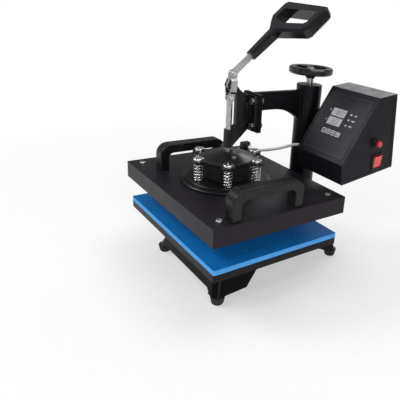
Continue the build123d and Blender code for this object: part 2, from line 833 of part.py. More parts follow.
def biarc(p0, t0, p1, t1):
    chord = p1 - p0
    both = t0 + t1
    a = both.dot(both) - 4
    b = -2 * chord.dot(both)
    c = chord.dot(chord)
    reach = (-b - math.sqrt(b * b - 4 * a * c)) / (2 * a) if abs(a) > 1e-9 else -c / b
    if reach < 0:
        reach = (-b + math.sqrt(b * b - 4 * a * c)) / (2 * a)
    q0 = p0 + t0 * reach
    q1 = p1 - t1 * reach
    joint = (q0 + q1) * 0.5
    first = TangentArc(p0, joint, tangent=t0)
    second = TangentArc(joint, p1, tangent=(q1 - q0).normalized())
    return [first, second]


def pressure_spring():
    arcs = []
    steps = spring_turns * 2
    for i in range(steps):
        p0, t0 = coil_point(i / 2)
        p1, t1 = coil_point((i + 1) / 2)
        arcs += biarc(p0, t0, p1, t1)
    path = Wire(arcs)
    start, heading = coil_point(0)
    section = Plane(origin=start, z_dir=heading) * Circle(spring_wire / 2)
    spring = sweep(section, path=path)
    turns_apart = (lobe_bottom - disc_top - spring_wire) / spring_turns - spring_wire
    samples = [coil_point(i / 24)[0] for i in range(spring_turns * 24 + 1)]
    least = min(
        (samples[i] - samples[j]).length for i in range(len(samples)) for j in range(i + 16, len(samples)))
    print("spring self gap", round(least - spring_wire, 2), "mean turn gap", round(turns_apart, 2))
    return spring


def pressure_springs():
    one = pressure_spring()
    floor = disc_top + spring_wire / 2 + 0.2
    return group([Pos(0, clamp_y, floor) * place * one for place in bolt_places()])


def cover_shell():
    half_w = cover_width / 2
    half_d = cover_depth / 2
    shell = block(-half_w, half_w, -half_d, half_d, cover_bottom, cover_top)
    shell = fillet(shell.edges().filter_by(Axis.Z) + shell.edges().group_by(Axis.Z)[-1], 1.2)
    inner_w = half_w - cover_wall
    inner_d = half_d - cover_wall
    shell -= block(-inner_w, inner_w, -inner_d, inner_d, cover_bottom - 1, cover_top - cover_wall)
    for x, y in cover_screw_places():
        shell -= upright(2.55, cover_top - 5, cover_top + 1, x, y)
    for x, y in handle_screw_places():
        shell -= upright(handle_screw_radius + running_fit, cover_top - 5, cover_top + 1, x, y)
    return shell


def cover_screw_places():
    return corners(plate_width / 2 - 19, plate_depth / 2 - 19)


def handle_screw_places():
    return [
        (x, y) for x in (handle_left_x, handle_right_x)
        for y in (handle_front + handle_bar / 2 + 2, handle_rear - handle_bar / 2 - 2)]


def cover_screws():
    screws = []
    for x, y in cover_screw_places():
        head = upright(6.5, cover_top, cover_top + 3, x, y)
        head = fillet(head.edges().group_by(Axis.Z)[-1], 1.8)
        head -= block(x - 4, x + 4, y - 0.7, y + 0.7, cover_top + 1.6, cover_top + 4)
        head -= block(x - 0.7, x + 0.7, y - 4, y + 4, cover_top + 1.6, cover_top + 4)
        screws.append(head + upright(2.5, plate_bottom + 6, cover_top, x, y))
    return group(screws)


def heating_platen():
    plate = block(
        -plate_width / 2, plate_width / 2, -plate_depth / 2, plate_depth / 2,
        plate_bottom, plate_bottom + heating_platen_height)
    plate = fillet(plate.edges().filter_by(Axis.Z), 3)
    for x, y in cover_screw_places():
        plate -= upright(2.5 + running_fit, plate_bottom + 5, plate_bottom + 50, x, y)
    return plate


def heating_element():
    z = plate_bottom + heating_platen_height + element_radius
    reach = plate_width / 2 - element_inset
    rows = [(i - 1.5) * element_pitch for i in range(4)]
    points = []
    for i, y in enumerate(rows):
        ends = (-reach, reach) if i % 2 == 0 else (reach, -reach)
        points += [(ends[0], y, z), (ends[1], y, z)]
    route = FilletPolyline(*points, radius=30)
    section = Plane(origin=points[0], z_dir=(1, 0, 0)) * Circle(element_radius)
    return sweep(section, path=route)


def insulation():
    bottom = plate_bottom + heating_platen_height + 2 * element_radius + soft_gap
    top = cover_top - cover_wall - soft_gap
    half_w = plate_width / 2 - 3
    half_d = plate_depth / 2 - 3
    blanket = block(-half_w, half_w, -half_d, half_d, bottom, top)
    for x, y in cover_screw_places():
        blanket -= upright(5, bottom - 1, top + 1, x, y)
    for x, y in handle_screw_places():
        blanket -= upright(8, top - 7, top + 1, x, y)
    return blanket


def side_handle(x):
    top = cover_top + handle_rise
    half = handle_width / 2
    outer = block(x - half, x + half, handle_front, handle_rear, cover_top, top)
    outer = fillet(outer.edges().filter_by(Axis.X).group_by(Axis.Z)[-1], handle_bend)
    inner = block(
        x - half - 1, x + half + 1, handle_front + handle_bar, handle_rear - handle_bar, cover_top - 30, top - handle_bar)
    inner = fillet(inner.edges().filter_by(Axis.X).group_by(Axis.Z)[-1], 12)
    handle = outer - inner
    long_edges = handle.edges().filter_by(lambda e: abs(abs(e.center().X - x) - half) < 0.01 and e.center().Z > cover_top + 1)
    handle = fillet(long_edges, 2.5)
    for sx, sy in handle_screw_places():
        if sx == x:
            handle -= upright(handle_screw_radius + running_fit, cover_top - 1, cover_top + 16, sx, sy)
    return handle


def handle_screws():
    screws = []
    seat = cover_top - cover_wall
    for x, y in handle_screw_places():
        screws.append(upright(5.5, seat - 4, seat, x, y) + upright(handle_screw_radius, seat, cover_top + 15, x, y))
    return group(screws)


def platen_gland():
    # the cable meets the mouth with a small gap, since the plate moves below the fixed end of the solid cable
    x, y, z = cable_start
    mouth = x - soft_gap
    body = block(mouth - 30, mouth - 12, y - 10, y + 10, cover_top, z + 9)
    body = fillet(body.edges().filter_by(Axis.Y).group_by(Axis.Z)[-1], 5)
    body += cross(cable_diameter / 2 + 2.5, mouth - 14, mouth, y, z)
    return body - cross(cable_diameter / 2 + gland_fit, mouth - gland_reach, mouth + 1, y, z)


# Control box, drawn in its own axes and then leaned and placed
def box_outline():
    return [(0, 0), (box_depth, 0), (box_depth, box_height), (slope_run, box_height), (0, box_lip)]


def box_profile(inset, x0, x1):
    face = offset(make_face(Polyline(*box_outline(), close=True)), -inset, kind=Kind.INTERSECTION)
    return Pos(x0, 0, 0) * extrude(Plane.YZ * face, x1 - x0)


def panel_plane(lift=0.0):
    # origin at the middle of the slope's lower edge, Y up the slope, Z out of the box
    out = Vector(0, -slope_rise / slope_length, slope_run / slope_length)
    origin = Vector(-box_width / 2, 0, box_lip) + out * lift
    return Plane(origin=origin, x_dir=(1, 0, 0), z_dir=out)


def on_panel(x_from_right, up):
    return (box_width / 2 - x_from_right, up)


def key_places():
    return [on_panel(key_first - i * key_pitch, key_row) for i in range(4)]


def board_spacers():
    return [on_panel(x, y) for y in spacer_rows for x in (box_width - spacer_inset, spacer_inset)]


def box_shell():
    shell = side_profile(box_outline(), -box_width, 0)
    soft = shell.edges().filter_by(Axis.X).filter_by(lambda e: e.center().Y < box_depth - 1)
    shell = fillet(soft, 2.5)
    inner_left = -box_width + box_wall
    shell -= box_profile(box_wall, inner_left, -box_wall)
    shell -= block(inner_left, -box_wall, box_depth - 2 * box_wall, box_depth + 1, box_wall, box_height - box_wall)
    recess = panel_plane(-panel_thickness).location * Pos(0, slope_length / 2, 10) * Box(
        box_width - 2 * panel_margin, slope_length - 2 * panel_margin, 20)
    shell -= recess
    wall_left = panel_plane(-box_wall).location
    for x, y in board_spacers():
        shell += wall_left * Pos(x, y, -board_gap / 2 + 0.2) * Cylinder(3, board_gap - 0.1)
    for x, y in key_places():
        hole = key_size + 2 * key_play
        shell -= panel_plane().location * Pos(x, y, 0) * Box(hole, hole, 12)
    shell -= box_profile(side_rim, -side_recess, 1)
    shell -= Pos(0, breaker_y, breaker_z) * Rot(0, 90, 0) * Cylinder(breaker_radius - 1 + running_fit, 10)
    shell -= Pos(0, rocker_y, rocker_z) * Box(10, bezel_width - 4 + 0.1, bezel_height - 4 + 0.1)
    shell -= Pos(-box_width, cable_hole()[0], cable_hole()[1]) * Rot(0, 90, 0) * Cylinder(5.55, 10)
    for y, z in [to_box(*place) for place in bracket_screws()]:
        shell -= Pos(-box_width, y, z) * Rot(0, 90, 0) * Cylinder(bracket_screw_radius + running_fit, 10)
    return box_place * shell


def to_box(y, z):
    lean = math.radians(box_lean)
    dy = y - box_corner[1]
    dz = z - box_corner[2]
    return dy * math.cos(lean) + dz * math.sin(lean), -dy * math.sin(lean) + dz * math.cos(lean)


def cable_hole():
    return to_box(cable_end_y, cable_end_z)


def bracket_screws():
    inset = 10
    rows = (bracket_bottom + inset + 2, bracket_bottom + bracket_height - inset)
    return [(y, z) for y in (bracket_front + inset - 2, bracket_rear - inset + 2) for z in rows]


def box_back_plate():
    plate = block(-box_width + box_wall + 0.1, -box_wall - 0.1, box_depth - box_wall, box_depth, box_wall + 0.1, box_height - box_wall - 0.1)
    for i in range(6):
        z = 96 + i * 9
        plate -= Pos(-box_width / 2, box_depth - 1, z) * Box(70, 10, 4)
    plate -= fore_aft(6.05, box_depth - 10, box_depth + 5, -box_width + 32, 24)
    return box_place * plate


def control_panel():
    width = box_width - 2 * panel_margin - 0.2
    height = slope_length - 2 * panel_margin - 0.2
    panel = Pos(0, slope_length / 2, -panel_thickness / 2) * Box(width, height, panel_thickness)
    panel = fillet(panel.edges().filter_by(Axis.Z), 3)
    for x, y in key_places():
        panel -= Pos(x, y, 0) * Box(key_size + 2 * key_play, key_size + 2 * key_play, 8)
    for row in (display_upper, display_lower):
        x, y = on_panel(display_left - display_width / 2, row + display_height / 2)
        panel -= Pos(x, y, 0) * Box(display_width, display_height, 1.2)
    for row in lamp_rows:
        panel -= Pos(*on_panel(lamp_left, row), 0) * Cylinder(lamp_radius + running_fit, 1.2)
    return box_place * panel_plane().location * panel


def display_windows():
    windows = []
    for row in (display_upper, display_lower):
        x, y = on_panel(display_left - display_width / 2, row + display_height / 2)
        pane = Pos(x, y, -0.1) * Box(display_width - 0.1, display_height - 0.1, 1.0)
        windows.append(box_place * panel_plane().location * pane)
    return group(windows)


def indicator_lamps():
    lamps = []
    for row in lamp_rows:
        lamp = Pos(*on_panel(lamp_left, row), 0.1) * Cylinder(lamp_radius, 1.4)
        lamps.append(box_place * panel_plane().location * lamp)
    return group(lamps)


def control_key(index):
    x, y = key_places()[index]
    depth = box_wall + key_stand + 2.5
    cap = Pos(x, y, key_stand - depth / 2) * Box(key_size, key_size, depth)
    cap = fillet(cap.edges().group_by(Axis.Z)[-1], 0.4)
    cap += Pos(x, y, key_stand - depth - 1) * Cylinder(2, 2.2)
    return box_place * panel_plane().location * cap


def circuit_board():
    wall = panel_plane(-box_wall - board_gap).location
    width = box_width - 2 * board_margin
    board = Pos(0, board_up, -board_thickness / 2) * Box(width, board_height, board_thickness)
    for place, size in (
            (relay_place, relay_size), (transformer_place, transformer_size), (terminal_place, terminal_size)):
        board += Pos(*place, -board_thickness - size[2] / 2) * Box(*size)
    for x, y in key_places():
        board += Pos(x, y, key_switch_height / 2) * Box(6, 6, key_switch_height)
    return box_place * wall * board


def breaker_holder():
    flange = Pos(1.5, breaker_y, breaker_z) * Rot(0, 90, 0) * Cylinder(breaker_radius + 2, 3)
    body = Pos(breaker_stand / 2 - 11, breaker_y, breaker_z) * Rot(0, 90, 0) * Cylinder(breaker_radius - 1, breaker_stand + 22)
    collar = Pos(breaker_stand / 2, breaker_y, breaker_z) * Rot(0, 90, 0) * Cylinder(breaker_radius, breaker_stand)
    bore = Pos(breaker_stand, breaker_y, breaker_z) * Rot(0, 90, 0) * Cylinder(button_radius + 0.3, 16)
    return box_side * (flange + body + collar - bore)


def breaker_button():
    tip = breaker_stand + button_stand
    rear = breaker_stand - 4.5
    button = Pos((tip + rear) / 2, breaker_y, breaker_z) * Rot(0, 90, 0) * Cylinder(button_radius, tip - rear)
    button = fillet(button.edges().group_by(Axis.X)[-1], 2.5)
    return box_side * button


def switch_bezel():
    plate = Pos(1.25, rocker_y, rocker_z) * Box(2.5, bezel_width, bezel_height)
    plate = fillet(plate.edges().filter_by(Axis.X), 2)
    case = Pos(-9, rocker_y, rocker_z) * Box(18, bezel_width - 4, bezel_height - 4)
    well = Pos(0, rocker_y, rocker_z) * Box(20, rocker_width + 1, rocker_height + 1)
    pin_holes = Pos(0, rocker_y, rocker_z) * Rot(90, 0, 0) * Cylinder(rocker_pin_radius + running_fit, rocker_pin_length + 0.4)
    return box_side * (plate + case - well - pin_holes)


def rocker():
    pivot = Pos(0, rocker_y, rocker_z)
    face = Plane.XZ * make_face(Polyline(
        (-5, -rocker_height / 2 + 4), (1.2, -rocker_height / 2 + 0.6), (2.6, 0), (5.4, rocker_height / 2 - 1.4),
        (-5, rocker_height / 2 - 4), (-8, 3), (-8, -3), close=True))
    pins = Rot(90, 0, 0) * Cylinder(rocker_pin_radius, rocker_pin_length)
    return box_side * pivot * (extrude(face, rocker_width / 2, both=True) + pins)


def box_bracket():
    low = bracket_bottom
    high = bracket_bottom + bracket_height
    t = bracket_sheet
    web = block(tube_radius - 9, box_left - t, post_y - t, post_y + t, low, high)
    flange = block(box_left - t, box_left, bracket_front, bracket_rear, low, high)
    rib = block(tube_radius - 9, box_left - t, post_y - 12, post_y + 12, low, low + t)
    bracket = web + flange + rib - upright(tube_radius, low - 5, high + 5, 0, post_y)
    for y, z in bracket_screws():
        bracket -= cross(bracket_screw_radius + running_fit, box_left - 10, box_left + 1, y, z)
    return bracket


def box_screws():
    screws = []
    seat = box_left - bracket_sheet
    for y, z in bracket_screws():
        screws.append(cross(4, seat - 2.4, seat, y, z) + cross(bracket_screw_radius, seat, box_left + 6, y, z))
    return group(screws)


def cable_glands():
    side = cross(7, box_left - gland_length, box_left, cable_end_y, cable_end_z)
    side += cross(5.5, box_left, box_left + 7, cable_end_y, cable_end_z)
    side -= cross(cable_diameter / 2 + gland_fit, box_left - gland_length - 1, box_left + 8, cable_end_y, cable_end_z)
    rear = fore_aft(9, box_depth, box_depth + 6, -box_width + 32, 24) + fore_aft(6, box_depth - 6, box_depth, -box_width + 32, 24)
    rear -= fore_aft(4, box_depth - 7, box_depth + 7, -box_width + 32, 24)
    return group([side, box_place * rear])


# Heater cable, hand-chosen points from the plate gland to the box gland
cable_route = [
    cable_start,
    (-88.0, 126.0, 232.0),
    (-50.0, 130.0, 244.0),
    (-10.0, 140.0, 259.0),
    (32.0, cable_end_y, cable_end_z),
    (box_left - gland_length + gland_reach, cable_end_y, cable_end_z)]


def heater_cable():
    points = [Vector(*p) for p in cable_route]
    radii = []
    for before, here, after in zip(points, points[1:], points[2:]):
        turn = math.radians((here - before).get_angle(after - here))
        shorter = min((here - before).length, (after - here).length)
        radii.append(0.45 * shorter / math.tan(turn / 2))
    print("cable radii", [round(r) for r in radii])
    route = FilletPolyline(*points, radius=radii)
    section = Plane(origin=points[0], z_dir=points[1] - points[0]) * Circle(cable_diameter / 2)
    cable = sweep(section, path=route)
    expected = route.length * math.pi * cable_diameter ** 2 / 4
    print("cable length", round(route.length, 1), "volume over section times length", round(cable.volume / expected, 3))
    return cable


nodes = {
    "base_frame": base_frame(),
    "rubber_feet": group([rubber_foot(x, y) for x, y in foot_places()]),
    "foot_screws": foot_screws(),
    "lower_platen": lower_platen(),
    "silicone_pad": silicone_pad(),
    "platen_bolts": platen_bolts(),
    "inner_post": inner_post(),
    "post_bolts": post_bolts(),
    "handwheel": handwheel(),
    "adjusting_screw": adjusting_screw(),
    "wheel_nut": wheel_nut(),
    "slide_bushes": slide_bushes(),
    "swing_tube": swing_tube(),
    "tube_cap": tube_cap(),
    "arm_plate": arm_plate(),
    "mount_plate": mount_plate(),
    "clamp_body": clamp_body(),
    "clamp_bolts": clamp_bolts(),
    "centre_rivet": centre_rivet(),
    "lever_bar": lever_bar(),
    "d_grip": d_grip(),
    "link_cheeks": link_cheeks(),
    "upper_rivet": upper_rivet(),
    "lower_rivet_heads": lower_rivet_heads(),
    "plunger": plunger(),
    "plunger_rivet": plunger_rivet(),
    "lock_nut": lock_nut(),
    "spider_plate": spider_plate(),
    "dome_screw": dome_screw(),
    "base_disc": base_disc(),
    "centre_drum": centre_drum(),
    "shoulder_bolts": shoulder_bolts(),
    "pressure_springs": pressure_springs(),
    "cover_shell": cover_shell(),
    "cover_screws": cover_screws(),
    "heating_platen": heating_platen(),
    "heating_element": heating_element(),
    "insulation": insulation(),
    "side_handle_left": side_handle(handle_left_x),
    "side_handle_right": side_handle(handle_right_x),
    "handle_screws": handle_screws(),
    "platen_gland": platen_gland(),
    "box_bracket": box_bracket(),
    "box_shell": box_shell(),
    "box_back_plate": box_back_plate(),
    "control_panel": control_panel(),
    "display_windows": display_windows(),
    "indicator_lamps": indicator_lamps(),
    "key_1": control_key(0),
    "key_2": control_key(1),
    "key_3": control_key(2),
    "key_4": control_key(3),
    "circuit_board": circuit_board(),
    "breaker_holder": breaker_holder(),
    "breaker_button": breaker_button(),
    "switch_bezel": switch_bezel(),
    "rocker": rocker(),
    "box_screws": box_screws(),
    "cable_glands": cable_glands(),
    "heater_cable": heater_cable(),
}

os.makedirs("parts", exist_ok=True)
spans = [shape.bounding_box() for name, shape in nodes.items() if name != "heater_cable"]
middle_x = (min(span.min.X for span in spans) + max(span.max.X for span in spans)) / 2
middle_y = (min(span.min.Y for span in spans) + max(span.max.Y for span in spans)) / 2
print("middle of the part", round(middle_x, 4), round(middle_y, 4))
for name, shape in nodes.items():
    solids = [solid.moved(Location((-middle_x, -middle_y, 0))) for solid in shape.solids()]
    export_step(solids[0] if len(solids) == 1 else group(solids), f"parts/{name}.step")
print(len(nodes), "nodes, stroke", round(stroke, 2))
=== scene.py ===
import json
import math

import bpy
from mathutils import Matrix, Vector

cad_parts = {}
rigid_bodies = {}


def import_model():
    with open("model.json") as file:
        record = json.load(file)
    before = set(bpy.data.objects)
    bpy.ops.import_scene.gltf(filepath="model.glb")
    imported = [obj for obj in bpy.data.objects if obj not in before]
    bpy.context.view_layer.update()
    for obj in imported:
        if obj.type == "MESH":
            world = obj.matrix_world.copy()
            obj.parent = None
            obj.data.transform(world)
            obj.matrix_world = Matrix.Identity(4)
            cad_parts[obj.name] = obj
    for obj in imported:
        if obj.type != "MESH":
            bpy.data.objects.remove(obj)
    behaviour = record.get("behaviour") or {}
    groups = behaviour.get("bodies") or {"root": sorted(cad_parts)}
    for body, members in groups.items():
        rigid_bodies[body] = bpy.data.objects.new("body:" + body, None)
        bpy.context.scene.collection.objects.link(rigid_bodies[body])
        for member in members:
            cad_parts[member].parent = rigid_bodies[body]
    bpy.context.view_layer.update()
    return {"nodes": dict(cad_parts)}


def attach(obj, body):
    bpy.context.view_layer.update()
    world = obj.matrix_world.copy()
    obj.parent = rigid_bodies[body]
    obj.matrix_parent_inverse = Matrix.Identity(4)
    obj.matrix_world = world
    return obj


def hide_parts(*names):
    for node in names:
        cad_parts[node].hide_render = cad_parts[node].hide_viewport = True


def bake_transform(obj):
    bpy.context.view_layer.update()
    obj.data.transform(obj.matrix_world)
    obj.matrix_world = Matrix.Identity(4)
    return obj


for leftover in list(bpy.data.objects):
    bpy.data.objects.remove(leftover)

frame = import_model()
nodes = frame["nodes"]
print("frame loaded with", len(nodes), "nodes")

millimetre = 0.001

# Places are measured from the floor below the plates' centre, and the frame's origin lies here from it
frameOrigin = Vector((0.0091, 0.0668695, 0))


# Camera, at the photo's place and angle

cameraSetup = {
    "azimuth": 50.61,      # degrees, 0 looks along +Y
    "elevation": 19.8,
    "roll": 4.82,
    "distance": 1.20388,   # metres
    "target": (-0.06784, 0.19853, 0.1721),
    "focal": 466.96,       # pixels of a 400 pixel picture
    "centre": (282.29, 171.31),
}


def placeCamera():
    a = math.radians(cameraSetup["azimuth"])
    e = math.radians(cameraSetup["elevation"])
    r = math.radians(cameraSetup["roll"])
    back = Vector((math.sin(a) * math.cos(e), -math.cos(a) * math.cos(e), math.sin(e)))
    right = Vector((math.cos(a), math.sin(a), 0))
    up = back.cross(right)
    rolledRight = right * math.cos(r) + up * math.sin(r)
    rolledUp = up * math.cos(r) - right * math.sin(r)
    data = bpy.data.cameras.new("studioCamera")
    data.sensor_width = 36
    data.lens = 36 * cameraSetup["focal"] / 400
    data.shift_x = (200 - cameraSetup["centre"][0]) / 400
    data.shift_y = (cameraSetup["centre"][1] - 200) / 400
    data.dof.use_dof = False
    camera = bpy.data.objects.new("studioCamera", data)
    bpy.context.scene.collection.objects.link(camera)
    turn = Matrix((rolledRight, rolledUp, back)).transposed().to_4x4()
    place = Vector(cameraSetup["target"]) - frameOrigin + back * cameraSetup["distance"]
    camera.matrix_world = Matrix.Translation(place) @ turn
    bpy.context.scene.camera = camera


# Small helpers for node trees

def newMaterial(name):
    material = bpy.data.materials.new(name)
    material.use_nodes = True
    tree = material.node_tree
    return material, tree, tree.nodes["Principled BSDF"]


def addNode(tree, kind, **settings):
    node = tree.nodes.new(kind)
    for key, value in settings.items():
        setattr(node, key, value)
    return node


def coordinates(tree, stretch=(1, 1, 1)):
    source = addNode(tree, "ShaderNodeTexCoord")
    mapping = addNode(tree, "ShaderNodeMapping")
    mapping.inputs["Scale"].default_value = stretch
    tree.links.new(source.outputs["Object"], mapping.inputs["Vector"])
    return mapping.outputs["Vector"]


def noise(tree, vector, scale, detail=3.0, roughness=0.5):
    node = addNode(tree, "ShaderNodeTexNoise")
    node.inputs["Scale"].default_value = scale
    node.inputs["Detail"].default_value = detail
    node.inputs["Roughness"].default_value = roughness
    tree.links.new(vector, node.inputs["Vector"])
    return node.outputs["Fac"]


def rescale(tree, value, fromLow, fromHigh, toLow, toHigh):
    node = addNode(tree, "ShaderNodeMapRange")
    node.inputs["From Min"].default_value = fromLow
    node.inputs["From Max"].default_value = fromHigh
    node.inputs["To Min"].default_value = toLow
    node.inputs["To Max"].default_value = toHigh
    tree.links.new(value, node.inputs["Value"])
    return node.outputs["Result"]


def combine(tree, operation, first, second):
    node = addNode(tree, "ShaderNodeMath", operation=operation)
    for socket, item in zip(node.inputs, (first, second)):
        if isinstance(item, (int, float)):
            socket.default_value = item
        else:
            tree.links.new(item, socket)
    return node.outputs["Value"]


def blendColours(tree, factor, first, second):
    node = addNode(tree, "ShaderNodeMix", data_type="RGBA")
    tree.links.new(factor, node.inputs["Factor"])
    for name, item in (("A_Color", first), ("B_Color", second)):
        socket = next(s for s in node.inputs if s.identifier == name)
        if isinstance(item, tuple):
            socket.default_value = (*item, 1)
        else:
            tree.links.new(item, socket)
    return next(s for s in node.outputs if s.identifier == "Result_Color")


def roundedNormal(tree, radius):
    node = addNode(tree, "ShaderNodeBevel", samples=6)
    node.inputs["Radius"].default_value = radius
    return node.outputs["Normal"]


# Range of the bevel edge mask that paints highlights along edges
edgeHighlightRange = {"start": 0.995, "full": 0.65}    # how far the rounded normal has turned from the face's own


def edgeMask(tree, radius):
    bevel = roundedNormal(tree, radius)
    geometry = addNode(tree, "ShaderNodeNewGeometry")
    dot = addNode(tree, "ShaderNodeVectorMath", operation="DOT_PRODUCT")
    tree.links.new(bevel, dot.inputs[0])
    tree.links.new(geometry.outputs["Normal"], dot.inputs[1])
    return rescale(tree, dot.outputs["Value"], edgeHighlightRange["start"], edgeHighlightRange["full"], 0, 1)


def addBump(tree, shader, height, strength, distance, radius):
    node = addNode(tree, "ShaderNodeBump")
    node.inputs["Strength"].default_value = strength
    node.inputs["Distance"].default_value = distance
    tree.links.new(height, node.inputs["Height"])
    if radius:
        tree.links.new(roundedNormal(tree, radius), node.inputs["Normal"])
    tree.links.new(node.outputs["Normal"], shader.inputs["Normal"])


# Small helpers for pieces

def deselect():
    if bpy.context.mode != "OBJECT":
        bpy.ops.object.mode_set(mode="OBJECT")
    bpy.ops.object.select_all(action="DESELECT")


# Materials

def paintedSteel(name, colour, gloss, grain=900, edgeHighlightColour=None, shine=0.2, tint=(1, 0.88, 0.98)):
    material, tree, shader = newMaterial(name)
    shader.inputs["Specular IOR Level"].default_value = shine
    shader.inputs["Specular Tint"].default_value = (*tint, 1)
    vector = coordinates(tree)
    cloud = noise(tree, vector, 9, 4)
    fine = noise(tree, vector, grain, 2)
    smudge = noise(tree, vector, 34, 5, 0.65)
    # Edges are painted lighter through the bevel mask, patchy with the smudge noise: a painted highlight
    # along the edges
    paintedEdgeHighlight = combine(tree, "MULTIPLY", edgeMask(tree, 0.0009), rescale(tree, smudge, 0.42, 0.66, 0.05, 0.75))
    darker = tuple(c * 0.72 for c in colour)
    body = blendColours(tree, rescale(tree, cloud, 0.3, 0.7, 0, 1), darker, colour)
    # The edge colour is the painted edge highlight's colour, lighter than the paint
    edge = edgeHighlightColour or tuple(min(1, c * 3.2 + 0.02) for c in colour)
    tree.links.new(blendColours(tree, paintedEdgeHighlight, body, edge), shader.inputs["Base Color"])
    tree.links.new(rescale(tree, smudge, 0.3, 0.75, gloss - 0.05, gloss + 0.09), shader.inputs["Roughness"])
    addBump(tree, shader, fine, 0.22, 0.00012, 0.0008)
    return material


def bareMetal(name, colour, gloss, stretch=(1, 1, 1), scratches=0.12, scale=420):
    material, tree, shader = newMaterial(name)
    shader.inputs["Metallic"].default_value = 1.0
    vector = coordinates(tree, stretch)
    lines = noise(tree, vector, scale, 3, 0.6)
    patches = noise(tree, coordinates(tree), 55, 5, 0.6)
    dull = tuple(c * 0.66 for c in colour)
    spotted = rescale(tree, patches, 0.36, 0.68, 0, 1)
    tree.links.new(blendColours(tree, spotted, colour, dull), shader.inputs["Base Color"])
    brushed = rescale(tree, lines, 0.3, 0.7, -0.06, 0.08)
    dulled = rescale(tree, patches, 0.3, 0.7, gloss - 0.04, gloss + 0.1)
    tree.links.new(combine(tree, "ADD", brushed, dulled), shader.inputs["Roughness"])
    addBump(tree, shader, lines, scratches, 0.00008, 0.0005)
    return material


def mouldedPlastic(name, colour, gloss, grain=1400, coat=0.0, grainStrength=0.12, shine=0.25):
    material, tree, shader = newMaterial(name)
    vector = coordinates(tree)
    fine = noise(tree, vector, grain, 2)
    flow = noise(tree, coordinates(tree, (1, 1, 0.35)), 26, 4, 0.6)
    lighter = tuple(min(1, c * 1.6 + 0.004) for c in colour)
    # Edges are painted lighter through the bevel mask: a painted highlight along the plastic's edges
    plasticEdgeHighlight = combine(tree, "MULTIPLY", edgeMask(tree, 0.0012), rescale(tree, flow, 0.4, 0.65, 0.1, 0.6))
    body = blendColours(tree, rescale(tree, flow, 0.3, 0.72, 0, 0.6), colour, lighter)
    plasticHighlightColour = tuple(min(1, c * 2.6 + 0.012) for c in colour)
    tree.links.new(blendColours(tree, plasticEdgeHighlight, body, plasticHighlightColour), shader.inputs["Base Color"])
    tree.links.new(rescale(tree, flow, 0.3, 0.75, gloss - 0.04, gloss + 0.08), shader.inputs["Roughness"])
    shader.inputs["Specular IOR Level"].default_value = shine
    shader.inputs["Coat Weight"].default_value = coat
    shader.inputs["Coat Roughness"].default_value = 0.12
    addBump(tree, shader, fine, grainStrength, 0.0001, 0.0012)
    return material


def siliconeSheet():
    material, tree, shader = newMaterial("blueSilicone")
    vector = coordinates(tree)
    geometry = addNode(tree, "ShaderNodeNewGeometry")
    split = addNode(tree, "ShaderNodeSeparateXYZ")
    tree.links.new(geometry.outputs["Normal"], split.inputs["Vector"])
    # The top and sides get different blues by the way each face points: the sides are painted lighter,
    # painted light on one material
    upward = rescale(tree, split.outputs["Z"], 0.3, 0.9, 0, 1)
    cells = noise(tree, vector, 700, 3, 0.7)
    wide = noise(tree, vector, 14, 5, 0.6)
    streaks = noise(tree, coordinates(tree, (1, 7, 1)), 22, 4, 0.65)
    top = blendColours(tree, rescale(tree, wide, 0.3, 0.72, 0, 1), (0.002, 0.13, 0.4), (0.003, 0.165, 0.49))
    top = blendColours(tree, rescale(tree, streaks, 0.52, 0.74, 0, 0.6), top, (0.001, 0.075, 0.26))
    side = blendColours(tree, rescale(tree, cells, 0.3, 0.7, 0, 1), (0.05, 0.29, 0.68), (0.1, 0.38, 0.8))
    tree.links.new(blendColours(tree, upward, side, top), shader.inputs["Base Color"])
    tree.links.new(rescale(tree, wide, 0.3, 0.7, 0.5, 0.64), shader.inputs["Roughness"])
    shader.inputs["Specular IOR Level"].default_value = 0.12
    shader.inputs["Subsurface Weight"].default_value = 0.08
    shader.inputs["Subsurface Scale"].default_value = 0.003
    shader.inputs["Subsurface Radius"].default_value = (0.4, 0.7, 1.0)
    addBump(tree, shader, cells, 0.25, 0.0002, 0.0012)
    return material


def footRubber():
    material, tree, shader = newMaterial("footRubber")
    vector = coordinates(tree)
    grain = noise(tree, vector, 1100, 3, 0.7)
    dust = noise(tree, vector, 70, 4, 0.6)
    dusty = rescale(tree, dust, 0.5, 0.8, 0, 0.5)
    tree.links.new(
        blendColours(tree, dusty, (0.012, 0.012, 0.013), (0.05, 0.048, 0.045)), shader.inputs["Base Color"])
    tree.links.new(rescale(tree, dust, 0.3, 0.8, 0.6, 0.82), shader.inputs["Roughness"])
    addBump(tree, shader, grain, 0.35, 0.0002, 0.001)
    return material


def printedPanel():
    material, tree, shader = newMaterial("printedPanel")
    vector = coordinates(tree)
    film = noise(tree, vector, 1800, 2)
    cloud = noise(tree, vector, 20, 4)
    tree.links.new(
        blendColours(tree, rescale(tree, cloud, 0.3, 0.7, 0, 1), (0.006, 0.006, 0.01), (0.01, 0.01, 0.015)),
        shader.inputs["Base Color"])
    tree.links.new(rescale(tree, cloud, 0.3, 0.7, 0.34, 0.44), shader.inputs["Roughness"])
    shader.inputs["Specular IOR Level"].default_value = 0.2
    addBump(tree, shader, film, 0.12, 0.00006, 0.0005)
    return material


def windowGlass():
    material, tree, shader = newMaterial("windowGlass")
    vector = coordinates(tree)
    haze = noise(tree, vector, 300, 4, 0.7)
    tree.links.new(
        blendColours(tree, rescale(tree, haze, 0.35, 0.7, 0, 1), (0.3, 0.3, 0.33), (0.4, 0.4, 0.44)),
        shader.inputs["Base Color"])
    tree.links.new(rescale(tree, haze, 0.3, 0.7, 0.16, 0.26), shader.inputs["Roughness"])
    shader.inputs["Coat Weight"].default_value = 0.6
    shader.inputs["Coat Roughness"].default_value = 0.06
    addBump(tree, shader, haze, 0.05, 0.00005, 0.0003)
    return material


